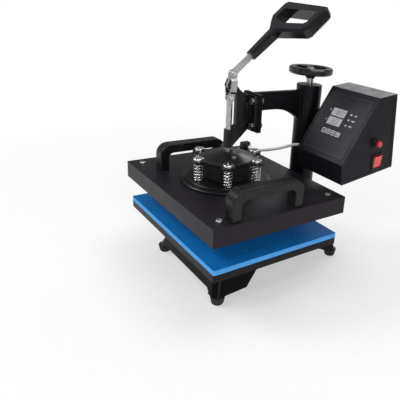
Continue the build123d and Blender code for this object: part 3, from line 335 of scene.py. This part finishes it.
def litPlastic(name, dark, light, glow):
    material, tree, shader = newMaterial(name)
    vector = coordinates(tree)
    inner = noise(tree, vector, 160, 4, 0.6)
    tree.links.new(
        blendColours(tree, rescale(tree, inner, 0.3, 0.7, 0, 1), dark, light), shader.inputs["Base Color"])
    tree.links.new(rescale(tree, inner, 0.3, 0.7, 0.12, 0.24), shader.inputs["Roughness"])
    shader.inputs["Coat Weight"].default_value = 0.7
    shader.inputs["Coat Roughness"].default_value = 0.08
    shader.inputs["Subsurface Weight"].default_value = 0.25
    shader.inputs["Subsurface Scale"].default_value = 0.002
    # The emission makes each piece glow faintly; on the rocker and the breaker button this glow is painted
    # light
    shader.inputs["Emission Color"].default_value = (*light, 1)
    shader.inputs["Emission Strength"].default_value = glow
    addBump(tree, shader, inner, 0.08, 0.00008, 0.0006)
    return material


def circuitGreen():
    material, tree, shader = newMaterial("circuitGreen")
    vector = coordinates(tree)
    tracks = addNode(tree, "ShaderNodeTexBrick")
    tracks.inputs["Scale"].default_value = 160
    tracks.inputs["Color1"].default_value = (0.02, 0.13, 0.045, 1)
    tracks.inputs["Color2"].default_value = (0.015, 0.1, 0.035, 1)
    tracks.inputs["Mortar"].default_value = (0.06, 0.22, 0.08, 1)
    tree.links.new(vector, tracks.inputs["Vector"])
    tree.links.new(tracks.outputs["Color"], shader.inputs["Base Color"])
    grain = noise(tree, vector, 800, 2)
    tree.links.new(rescale(tree, grain, 0.3, 0.7, 0.3, 0.45), shader.inputs["Roughness"])
    addBump(tree, shader, tracks.outputs["Fac"], 0.3, 0.0001, 0.0003)
    return material


def fibreBlanket():
    material, tree, shader = newMaterial("fibreBlanket")
    vector = coordinates(tree)
    fibres = noise(tree, coordinates(tree, (1, 6, 1)), 260, 6, 0.75)
    tree.links.new(
        blendColours(tree, rescale(tree, fibres, 0.3, 0.7, 0, 1), (0.55, 0.52, 0.42), (0.8, 0.78, 0.7)),
        shader.inputs["Base Color"])
    tree.links.new(rescale(tree, noise(tree, vector, 30), 0.3, 0.7, 0.85, 0.97), shader.inputs["Roughness"])
    addBump(tree, shader, fibres, 0.8, 0.0012, 0.002)
    return material


def braidedSleeve():
    material, tree, shader = newMaterial("braidedSleeve")
    uv = addNode(tree, "ShaderNodeUVMap")
    waves = []
    for turn in (0.9, -0.9):
        mapping = addNode(tree, "ShaderNodeMapping")
        mapping.inputs["Scale"].default_value = (60, 8, 1)
        mapping.inputs["Rotation"].default_value = (0, 0, turn)
        tree.links.new(uv.outputs["UV"], mapping.inputs["Vector"])
        wave = addNode(tree, "ShaderNodeTexWave")
        wave.inputs["Scale"].default_value = 1.1
        tree.links.new(mapping.outputs["Vector"], wave.inputs["Vector"])
        waves.append(wave.outputs["Fac"])
    weave = combine(tree, "MAXIMUM", *waves)
    soil = noise(tree, coordinates(tree), 60, 4)
    colour = blendColours(tree, rescale(tree, weave, 0.2, 0.9, 0, 1), (0.4, 0.38, 0.38), (0.74, 0.72, 0.72))
    tree.links.new(
        blendColours(tree, rescale(tree, soil, 0.5, 0.8, 0, 0.35), colour, (0.45, 0.4, 0.38)),
        shader.inputs["Base Color"])
    tree.links.new(rescale(tree, soil, 0.3, 0.7, 0.55, 0.75), shader.inputs["Roughness"])
    addBump(tree, shader, weave, 0.6, 0.0003, 0)
    return material


def legendInk(name, colour):
    material, tree, shader = newMaterial(name)
    speckle = noise(tree, coordinates(tree), 900, 3)
    dimmer = tuple(c * 0.8 for c in colour)
    thin = rescale(tree, speckle, 0.4, 0.7, 0, 1)
    tree.links.new(blendColours(tree, thin, colour, dimmer), shader.inputs["Base Color"])
    tree.links.new(rescale(tree, speckle, 0.3, 0.7, 0.45, 0.6), shader.inputs["Roughness"])
    addBump(tree, shader, speckle, 0.1, 0.00003, 0)
    return material


print("making materials")
satinBlack = paintedSteel("satinBlackPaint", (0.006, 0.0055, 0.0065), 0.36, shine=0.16)
baseBlack = paintedSteel("baseEnamel", (0.0035, 0.0032, 0.0036), 0.3, 700, (0.03, 0.03, 0.03), 0.12)
coverBlack = paintedSteel("coverPowderCoat", (0.0098, 0.0082, 0.0108), 0.4, 1300, None, 0.2, (1, 0.9, 1))
boxBlack = paintedSteel(
    "boxPowderCoat", (0.0065, 0.0065, 0.0095), 0.4, 1500, (0.07, 0.075, 0.095), 0.2, (0.86, 0.9, 1))
tubeBlack = paintedSteel("tubeEnamel", (0.004, 0.004, 0.0055), 0.3, 700, None, 0.16, (0.9, 0.92, 1))
clampBlack = paintedSteel(
    "clampEnamel", (0.005, 0.005, 0.006), 0.26, 600, (0.2, 0.2, 0.22), 0.35, (0.95, 0.95, 1))
spiderBlack = paintedSteel("spiderEnamel", (0.006, 0.0058, 0.0068), 0.3, 800, None, 0.3, (0.95, 0.93, 1))
castBlack = paintedSteel("drumCasting", (0.016, 0.015, 0.016), 0.5, 420)
zincPlate = bareMetal("zincPlate", (0.6, 0.61, 0.62), 0.27)
barZinc = bareMetal("leverZinc", (0.68, 0.69, 0.72), 0.36, (1, 0.15, 0.15))
ramSteel = bareMetal("groundRam", (0.5, 0.5, 0.52), 0.22, (1, 1, 8), 0.1, 300)
boltChrome = bareMetal("boltChrome", (0.74, 0.74, 0.74), 0.16)
springChrome = bareMetal("springWire", (0.78, 0.78, 0.78), 0.14, (1, 1, 1), 0.06, 900)
postChrome = bareMetal("postChrome", (0.55, 0.55, 0.56), 0.16, (1, 1, 12), 0.05, 240)
bushBrass = bareMetal("bushBrass", (0.62, 0.42, 0.16), 0.3)
plateAluminium = bareMetal("plateAluminium", (0.62, 0.62, 0.63), 0.32, (0.1, 1, 1), 0.15, 700)
elementSteel = bareMetal("elementSheath", (0.35, 0.33, 0.31), 0.42)
wheelBlack = mouldedPlastic("wheelBakelite", (0.004, 0.004, 0.005), 0.14, 900, 0.35, 0.05)
gripBlack = mouldedPlastic("gripPlastic", (0.004, 0.004, 0.0055), 0.14, 1000, 0.3, 0.07)
handleBlack = mouldedPlastic("handlePlastic", (0.005, 0.0048, 0.006), 0.32, 1600, 0.05, 0.14)
fittingBlack = mouldedPlastic("fittingPlastic", (0.01, 0.01, 0.011), 0.34, 1800)
keyPlastic = mouldedPlastic("keyPlastic", (0.035, 0.036, 0.042), 0.4, 2200)
lampClear = litPlastic("lampClear", (0.3, 0.28, 0.28), (0.5, 0.48, 0.48), 0.05)
# The rocker's and breaker button's glow is painted light
rockerRed = litPlastic("rockerRed", (0.5, 0.003, 0.003), (0.72, 0.008, 0.006), 0.16)
buttonRed = litPlastic("buttonRed", (0.42, 0.008, 0.006), (0.6, 0.02, 0.012), 0.05)
whiteInk = legendInk("whiteInk", (0.86, 0.87, 0.9))
digitInk = legendInk("digitInk", (0.06, 0.06, 0.07))

finishes = {
    satinBlack: ["lower_platen", "mount_plate", "arm_plate", "box_bracket"],
    baseBlack: ["base_frame"],
    coverBlack: ["cover_shell"],
    boxBlack: ["box_shell", "box_back_plate"],
    tubeBlack: ["swing_tube", "tube_cap"],
    clampBlack: ["clamp_body"],
    spiderBlack: ["spider_plate", "base_disc"],
    castBlack: ["centre_drum"],
    zincPlate: [
        "foot_screws", "platen_bolts", "post_bolts", "wheel_nut", "clamp_bolts", "link_cheeks", "lock_nut",
        "dome_screw", "cover_screws", "handle_screws", "box_screws"],
    barZinc: ["lever_bar"],
    ramSteel: ["plunger", "adjusting_screw"],
    boltChrome: ["centre_rivet", "upper_rivet", "lower_rivet_heads", "plunger_rivet", "shoulder_bolts"],
    springChrome: ["pressure_springs"],
    postChrome: ["inner_post"],
    bushBrass: ["slide_bushes"],
    plateAluminium: ["heating_platen"],
    elementSteel: ["heating_element"],
    wheelBlack: ["handwheel"],
    gripBlack: ["d_grip"],
    handleBlack: ["side_handle_left", "side_handle_right"],
    fittingBlack: ["platen_gland", "cable_glands", "breaker_holder", "switch_bezel"],
    keyPlastic: ["key_1", "key_2", "key_3", "key_4"],
    siliconeSheet(): ["silicone_pad"],
    footRubber(): ["rubber_feet"],
    printedPanel(): ["control_panel"],
    windowGlass(): ["display_windows"],
    lampClear: ["indicator_lamps"],
    rockerRed: ["rocker"],
    buttonRed: ["breaker_button"],
    circuitGreen(): ["circuit_board"],
    fibreBlanket(): ["insulation"],
}

print("dressing the packed nodes")
for material, names in finishes.items():
    for name in names:
        node = nodes[name]
        node.data.materials.clear()
        node.data.materials.append(material)


# Heater cable, from the gland on the cover to the gland on the box

cableSetup = {
    "diameter": 0.007,
    "route": [    # millimetres
        (-116.0, 126.0, 232.0),
        (-88.0, 126.0, 232.0),
        (-50.0, 130.0, 244.0),
        (-10.0, 140.0, 259.0),
        (32.0, 155.0, 281.0),
        (58.0, 155.0, 281.0)],
}


def cablePoints():
    return [Vector(place) * millimetre - frameOrigin for place in cableSetup["route"]]


def makeCable():
    data = bpy.data.curves.new("heaterCable", "CURVE")
    data.dimensions = "3D"
    data.resolution_u = 16
    spline = data.splines.new("NURBS")
    spline.points.add(len(cableSetup["route"]) - 1)
    for point, place in zip(spline.points, cablePoints()):
        point.co = (*place, 1)
    spline.order_u = 3
    spline.use_endpoint_u = True
    curve = bpy.data.objects.new("heaterCable", data)
    bpy.context.scene.collection.objects.link(curve)
    bare = bpy.data.meshes.new_from_object(curve)
    path = [vertex.co.copy() for vertex in bare.vertices]
    data.bevel_depth = cableSetup["diameter"] / 2
    data.bevel_resolution = 6
    data.use_fill_caps = True
    deselect()
    curve.select_set(True)
    bpy.context.view_layer.objects.active = curve
    bpy.ops.object.convert(target="MESH")
    cable = bpy.context.view_layer.objects.active
    cable.name = "heaterCable"
    wrapSleeve(cable.data, path)
    cable.data.materials.clear()
    cable.data.materials.append(braidedSleeve())
    bpy.ops.object.shade_smooth()
    return cable, path


def wrapSleeve(mesh, path):
    # U runs along the cable in metres, V once round it
    lengths = [0.0]
    for before, after in zip(path, path[1:]):
        lengths.append(lengths[-1] + (after - before).length)
    spots = []
    for vertex in mesh.vertices:
        nearest = min(range(len(path)), key=lambda i: (vertex.co - path[i]).length)
        along = (path[min(nearest + 1, len(path) - 1)] - path[max(nearest - 1, 0)]).normalized()
        side = along.cross(Vector((0, 0, 1))).normalized()
        above = side.cross(along)
        away = vertex.co - path[nearest]
        spots.append((lengths[nearest], math.atan2(away.dot(above), away.dot(side)) / math.tau + 0.5))
    layer = mesh.uv_layers.new(name="sleeve") if not mesh.uv_layers else mesh.uv_layers[0]
    for loop in mesh.loops:
        layer.data[loop.index].uv = spots[loop.vertex_index]


print("laying the heater cable")
cable, cablePath = makeCable()
print("cable runs", round(sum((b - a).length for a, b in zip(cablePath, cablePath[1:])), 4))
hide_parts("heater_cable")
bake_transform(cable)


# Weld beads and the white tail of the cable, as short tubes

def makeTube(name, points, radius, material, body):
    data = bpy.data.curves.new(name, "CURVE")
    data.dimensions = "3D"
    spline = data.splines.new("POLY")
    spline.points.add(len(points) - 1)
    for point, place in zip(spline.points, points):
        point.co = (*place, 1)
    data.bevel_depth = radius
    data.bevel_resolution = 4
    data.use_fill_caps = True
    tube = bpy.data.objects.new(name, data)
    bpy.context.scene.collection.objects.link(tube)
    deselect()
    tube.select_set(True)
    bpy.context.view_layer.objects.active = tube
    bpy.ops.object.convert(target="MESH")
    tube = bpy.context.view_layer.objects.active
    bpy.ops.object.shade_smooth()
    tube.name = name
    tube.data.materials.clear()
    tube.data.materials.append(material)
    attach(tube, body)
    return tube


postAxis = (0, 0.202)

weldSetup = {
    "radius": 0.0021,
    "ripple": 0.0004,
    "rippleTurn": 1.9,      # radians from one point to the next
    "step": 0.0016,
    "armHalf": 0.006,
    "armReach": 0.0284,     # in front of the post's axis, where the arm's faces meet the tube
    "armHeights": (0.331, 0.3955),
    "bracketHalf": 0.003,
    "bracketReach": 0.0292,
    "bracketHeights": (0.302, 0.359),
}


def beadPoints(x, y, low, high):
    count = int((high - low) / weldSetup["step"])
    points = []
    for i in range(count + 1):
        wave = weldSetup["ripple"] * math.sin(i * weldSetup["rippleTurn"])
        points.append(Vector((x + wave, y - wave, low + i * weldSetup["step"])) - frameOrigin)
    return points


def makeBead(name, x, y, heights):
    makeTube(name, beadPoints(x, y, *heights), weldSetup["radius"], tubeBlack, "head")


def makeWelds():
    for side, word in ((-1, "Left"), (1, "Right")):
        y = postAxis[1] - weldSetup["armReach"]
        makeBead(f"armWeld{word}", side * weldSetup["armHalf"], y, weldSetup["armHeights"])
    for side, word in ((-1, "Front"), (1, "Rear")):
        y = postAxis[1] + side * weldSetup["bracketHalf"]
        makeBead(f"bracketWeld{word}", weldSetup["bracketReach"], y, weldSetup["bracketHeights"])


tailSetup = {"length": 0.03, "radius": 0.0052}


def makeTail():
    points = [cablePath[0]]
    run = 0.0
    for before, after in zip(cablePath, cablePath[1:]):
        run += (after - before).length
        if run > tailSetup["length"]:
            break
        points.append(after)
    tailWhite = mouldedPlastic("tailWhite", (0.72, 0.71, 0.7), 0.5, 700, 0, 0.3)
    makeTube("cableTail", points, tailSetup["radius"], tailWhite, "upper_plate")


print("laying welds and the cable's tail")
makeWelds()
makeTail()


# Panel legends

boxSetup = {
    "corner": (0.202, 0.1337, 0.2414),    # lower front right corner
    "lean": 6.9,                          # degrees
    "width": 0.14,
    "lip": 0.043,
    "slopeRun": 0.102,
    "slopeRise": 0.12,
}


def panelMatrix():
    # origin at the middle of the slope's lower edge, Y up the slope, Z out of the box
    slope = math.atan2(boxSetup["slopeRise"], boxSetup["slopeRun"])
    lean = Matrix.Rotation(math.radians(boxSetup["lean"]), 4, "X")
    local = Matrix.Translation((-boxSetup["width"] / 2, 0, boxSetup["lip"])) @ Matrix.Rotation(slope, 4, "X")
    return Matrix.Translation(Vector(boxSetup["corner"]) - frameOrigin) @ lean @ local


def finishPiece(piece, name, material, body, matrix=None):
    if matrix is not None:
        piece.data.transform(matrix @ piece.matrix_world)
        piece.matrix_world = Matrix.Identity(4)
    piece.name = name
    piece.data.name = name
    piece.data.materials.clear()
    piece.data.materials.append(material)
    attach(piece, body)
    return piece


def joinPieces(pieces):
    deselect()
    for piece in pieces:
        piece.select_set(True)
    bpy.context.view_layer.objects.active = pieces[0]
    bpy.ops.object.join()
    return bpy.context.view_layer.objects.active


def rawBar(x, y, z, width, height, thick):
    deselect()
    bpy.ops.mesh.primitive_cube_add(size=1, location=(x, y, z))
    bar = bpy.context.view_layer.objects.active
    bar.data.transform(Matrix.Diagonal((width, height, thick, 1)))
    return bar


def bevelPiece(piece, width, segments=2):
    deselect()
    piece.select_set(True)
    bpy.context.view_layer.objects.active = piece
    modifier = piece.modifiers.new("edges", "BEVEL")
    modifier.width = width
    modifier.segments = segments
    bpy.ops.object.modifier_apply(modifier=modifier.name)
    return piece


digitSetup = {
    "height": 0.0105,
    "width": 0.0062,
    "stroke": 0.0013,
    "lean": 0.12,
    "thick": 0.00012,
    "glass": 0.0004,                   # the windows' face above the panel
    "rounding": 0.00003,
    "windowLeft": 0.100,               # from the box's right side
    "windowWidth": 0.039,
    "windowHeights": (0.103, 0.082),   # of each window's middle, up the panel
    "pitch": 0.0105,
    "lit": ("180", "30"),
}

windowMiddle = boxSetup["width"] / 2 - digitSetup["windowLeft"] + digitSetup["windowWidth"] / 2

segmentsOf = {
    "0": "abcdef", "1": "bc", "2": "abged", "3": "abgcd", "4": "fgbc",
    "5": "afgcd", "6": "afgedc", "7": "abc", "8": "abcdefg", "9": "abcdfg",
}


def digitBars(character, x, y, z):
    w = digitSetup["width"] / 2
    h = digitSetup["height"] / 2
    s = digitSetup["stroke"]
    t = digitSetup["thick"]
    spots = {
        "a": (0, h, w * 1.5, s), "g": (0, 0, w * 1.5, s), "d": (0, -h, w * 1.5, s),
        "f": (-w, h / 2, s, h * 0.78), "b": (w, h / 2, s, h * 0.78),
        "e": (-w, -h / 2, s, h * 0.78), "c": (w, -h / 2, s, h * 0.78)}
    bars = []
    for letter in segmentsOf[character]:
        dx, dy, width, height = spots[letter]
        bars.append(rawBar(x + dx + dy * digitSetup["lean"], y + dy, z, width, height, t))
    return bars


def makeDigits():
    matrix = panelMatrix()
    surface = digitSetup["glass"] + digitSetup["thick"] / 2
    for row, (text, height) in enumerate(zip(digitSetup["lit"], digitSetup["windowHeights"])):
        bars = []
        offset = windowMiddle - (len(text) - 1) * digitSetup["pitch"] / 2
        for i, character in enumerate(text):
            bars += digitBars(character, offset + i * digitSetup["pitch"], height, surface)
        piece = joinPieces(bars)
        bevelPiece(piece, digitSetup["rounding"], 1)
        finishPiece(piece, f"displayDigits{row + 1}", digitInk, "head", matrix)


printSetup = {
    "lift": 0.00012,      # of lettering above the panel
    "extrude": 0.00006,
    "frameThick": 0.0001,
}


def makeText(words, x, y, size, name, body="head", lift=printSetup["lift"]):
    deselect()
    bpy.ops.object.text_add(location=(0, 0, 0))
    text = bpy.context.view_layer.objects.active
    text.data.body = words
    text.data.size = size
    text.data.extrude = printSetup["extrude"]
    text.data.align_x = "CENTER"
    text.data.align_y = "CENTER"
    bpy.ops.object.convert(target="MESH")
    text = bpy.context.view_layer.objects.active
    text.data.transform(Matrix.Translation((x, y, lift)))
    return finishPiece(text, name, whiteInk, body, panelMatrix())


def makeFrame(x, y, width, height, stroke, name, material, body, lift):
    dx = (width - stroke) / 2
    dy = (height - stroke) / 2
    thick = printSetup["frameThick"]
    bars = [rawBar(x, y + side * dy, lift, width, stroke, thick) for side in (1, -1)]
    bars += [rawBar(x + side * dx, y, lift, stroke, height - 2 * stroke, thick) for side in (-1, 1)]
    piece = joinPieces(bars)
    return finishPiece(piece, name, material, body, panelMatrix())


legendSetup = {
    "keys": ("-", "+", "<", "OK"),
    "keyTop": 0.001,
    "keyRow": 0.057,
    "keyFirst": 0.094,
    "keyPitch": 0.014,
    "keyFrame": 0.0101,       # side of the frame printed on a key
    "keyStroke": 0.0008,
    "keyFrameLift": 0.00005,
    "keyWordLift": 0.00006,
    "symbolSize": 0.0075,     # of a key's single character
    "wordSize": 0.005,        # of a key's word
    "lampRows": (0.106, 0.0935, 0.081),
    "lampWordLeft": 0.0335,   # from the box's right side
    "lampWordSize": 0.0042,
    "lampLabels": ("ON", "HEAT", "TIME"),
    "units": (    # name, words, distance left of the windows' middle, height up the panel, size
        ("degreeLegend", "°C", 0.0265, 0.105, 0.0048),
        ("secondLegend", "s", 0.0255, 0.083, 0.0052)),
    "border": {"middle": 0.0787, "width": 0.114, "height": 0.1315, "stroke": 0.0004, "lift": 0.00006},
}


def makeLegends():
    half = boxSetup["width"] / 2
    y = legendSetup["keyRow"]
    top = legendSetup["keyTop"]
    side = legendSetup["keyFrame"]
    for i, words in enumerate(legendSetup["keys"]):
        x = half - legendSetup["keyFirst"] + i * legendSetup["keyPitch"]
        body = f"key_body_{i + 1}"
        size = legendSetup["symbolSize"] if len(words) == 1 else legendSetup["wordSize"]
        lift = top + legendSetup["keyWordLift"]
        makeText(words, x, y, size, f"keyLegend{i + 1}", body, lift)
        makeFrame(
            x, y, side, side, legendSetup["keyStroke"], f"keyFrame{i + 1}", whiteInk, body,
            top + legendSetup["keyFrameLift"])
    x = half - legendSetup["lampWordLeft"]
    for i, (row, words) in enumerate(zip(legendSetup["lampRows"], legendSetup["lampLabels"])):
        makeText(words, x, row, legendSetup["lampWordSize"], f"lampLegend{i + 1}")
    for name, words, left, height, size in legendSetup["units"]:
        makeText(words, windowMiddle - left, height, size, name)
    border = legendSetup["border"]
    borderInk = legendInk("borderInk", (0.05, 0.05, 0.06))
    makeFrame(
        0, border["middle"], border["width"], border["height"], border["stroke"], "panelBorder", borderInk,
        "head", border["lift"])


print("printing the panel")
makeDigits()
makeLegends()


# Thread of the adjusting screw

threadSetup = {
    "low": 0.4095,
    "high": 0.4225,
    "radius": 0.0078,
    "pitch": 0.002,
    "height": 0.0004,
    "steps": 28,      # in one turn
}


def makeThread():
    deselect()
    radius = threadSetup["radius"]
    height = threadSetup["height"]
    pitch = threadSetup["pitch"]
    bpy.ops.mesh.primitive_circle_add(vertices=3, radius=height, fill_type="NOTHING", location=(0, 0, 0))
    thread = bpy.context.view_layer.objects.active
    root = radius - height * 0.4
    profile = [(root, -pitch * 0.4), (radius + height * 0.6, 0), (root, pitch * 0.4)]
    for vertex, (r, z) in zip(thread.data.vertices, profile):
        vertex.co = (r, 0, z)
    modifier = thread.modifiers.new("helix", "SCREW")
    modifier.screw_offset = pitch
    modifier.iterations = int((threadSetup["high"] - threadSetup["low"]) / pitch)
    modifier.steps = threadSetup["steps"]
    modifier.render_steps = threadSetup["steps"]
    modifier.use_merge_vertices = False
    bpy.ops.object.modifier_apply(modifier=modifier.name)
    bpy.ops.object.mode_set(mode="EDIT")
    bpy.ops.mesh.select_all(action="DESELECT")
    bpy.ops.mesh.select_non_manifold()
    bpy.ops.mesh.fill()
    bpy.ops.mesh.select_all(action="SELECT")
    bpy.ops.mesh.normals_make_consistent(inside=False)
    bpy.ops.object.mode_set(mode="OBJECT")
    place = Vector((*postAxis, threadSetup["low"] + pitch / 2)) - frameOrigin
    finishPiece(thread, "adjusterThread", ramSteel, "wheel", Matrix.Translation(place))


print("cutting the thread")
makeThread()


# Floor, light and background

floorSetup = {
    "radius": 12,
    "drop": 0.0002,              # below the feet, so that the faces don't meet
    "fade": (0.5, 1.3),          # distances between which the floor turns white
    "nearWhite": 0.45,
}

lightSetup = {
    "aim": (0, 0.05, 0.2),
    "ambient": 0.26,
    "floorGlow": 0.55,    # how bright the floor is in reflections
    "key": {"place": (-1.1, -1.7, 1.9), "size": 1.3, "power": 34},
    "side": {"place": (1.9, -0.5, 1.1), "size": 1.0, "power": 14},
    "top": {"place": (0.2, 0.5, 2.2), "size": 1.6, "power": 22},
    "rear": {"place": (-1.2, 1.7, 1.4), "size": 1.0, "power": 8},
    "glint": {"place": (0.9, -1.2, 1.3), "size": 0.16, "power": 5},
}


def makeFloor():
    deselect()
    bpy.ops.mesh.primitive_circle_add(
        vertices=96, radius=floorSetup["radius"], fill_type="NGON", location=(0, 0, -floorSetup["drop"]))
    floor = bpy.context.view_layer.objects.active
    floor.name = "studioFloor"
    material, tree, shader = newMaterial("paleFloor")
    vector = coordinates(tree)
    length = addNode(tree, "ShaderNodeVectorMath", operation="LENGTH")
    tree.links.new(vector, length.inputs[0])
    away = rescale(tree, length.outputs["Value"], *floorSetup["fade"], floorSetup["nearWhite"], 1)
    grain = noise(tree, vector, 60, 3)
    tree.links.new(
        blendColours(tree, rescale(tree, grain, 0.3, 0.7, 0, 1), (0.8, 0.8, 0.8), (0.82, 0.82, 0.82)),
        shader.inputs["Base Color"])
    shader.inputs["Roughness"].default_value = 0.8
    shader.inputs["Specular IOR Level"].default_value = 0.0
    rays = addNode(tree, "ShaderNodeLightPath")
    mirrored = combine(tree, "MULTIPLY", rays.outputs["Is Glossy Ray"], lightSetup["floorGlow"])
    seen = combine(tree, "MAXIMUM", rays.outputs["Is Camera Ray"], mirrored)
    seen = combine(tree, "MAXIMUM", seen, rays.outputs["Is Transmission Ray"])
    white = addNode(tree, "ShaderNodeEmission")
    mix = addNode(tree, "ShaderNodeMixShader")
    tree.links.new(combine(tree, "MULTIPLY", seen, away), mix.inputs["Fac"])
    tree.links.new(shader.outputs["BSDF"], mix.inputs[1])
    tree.links.new(white.outputs["Emission"], mix.inputs[2])
    tree.links.new(mix.outputs["Shader"], tree.nodes["Material Output"].inputs["Surface"])
    floor.data.materials.append(material)


def makeWorld():
    world = bpy.data.worlds.new("studioWorld")
    bpy.context.scene.world = world
    world.use_nodes = True
    tree = world.node_tree
    ambient = tree.nodes["Background"]
    ambient.inputs["Color"].default_value = (0.98, 0.98, 1.0, 1)
    ambient.inputs["Strength"].default_value = lightSetup["ambient"]
    white = addNode(tree, "ShaderNodeBackground")
    white.inputs["Color"].default_value = (1, 1, 1, 1)
    rays = addNode(tree, "ShaderNodeLightPath")
    mix = addNode(tree, "ShaderNodeMixShader")
    seen = combine(tree, "MAXIMUM", rays.outputs["Is Camera Ray"], rays.outputs["Is Transmission Ray"])
    tree.links.new(seen, mix.inputs["Fac"])
    tree.links.new(ambient.outputs["Background"], mix.inputs[1])
    tree.links.new(white.outputs["Background"], mix.inputs[2])
    tree.links.new(mix.outputs["Shader"], tree.nodes["World Output"].inputs["Surface"])


def addLamp(name, place, size, power):
    data = bpy.data.lights.new(name, "AREA")
    data.shape = "DISK"
    data.size = size
    data.energy = power
    lamp = bpy.data.objects.new(name, data)
    bpy.context.scene.collection.objects.link(lamp)
    aim = Vector(lightSetup["aim"]) - Vector(place)
    lamp.matrix_world = Matrix.Translation(place) @ aim.to_track_quat("-Z", "Y").to_matrix().to_4x4()


print("lighting")
makeFloor()
makeWorld()
for name in ("key", "side", "top", "rear", "glint"):
    addLamp(name + "Lamp", **lightSetup[name])
placeCamera()
bpy.context.scene.view_settings.view_transform = "Standard"
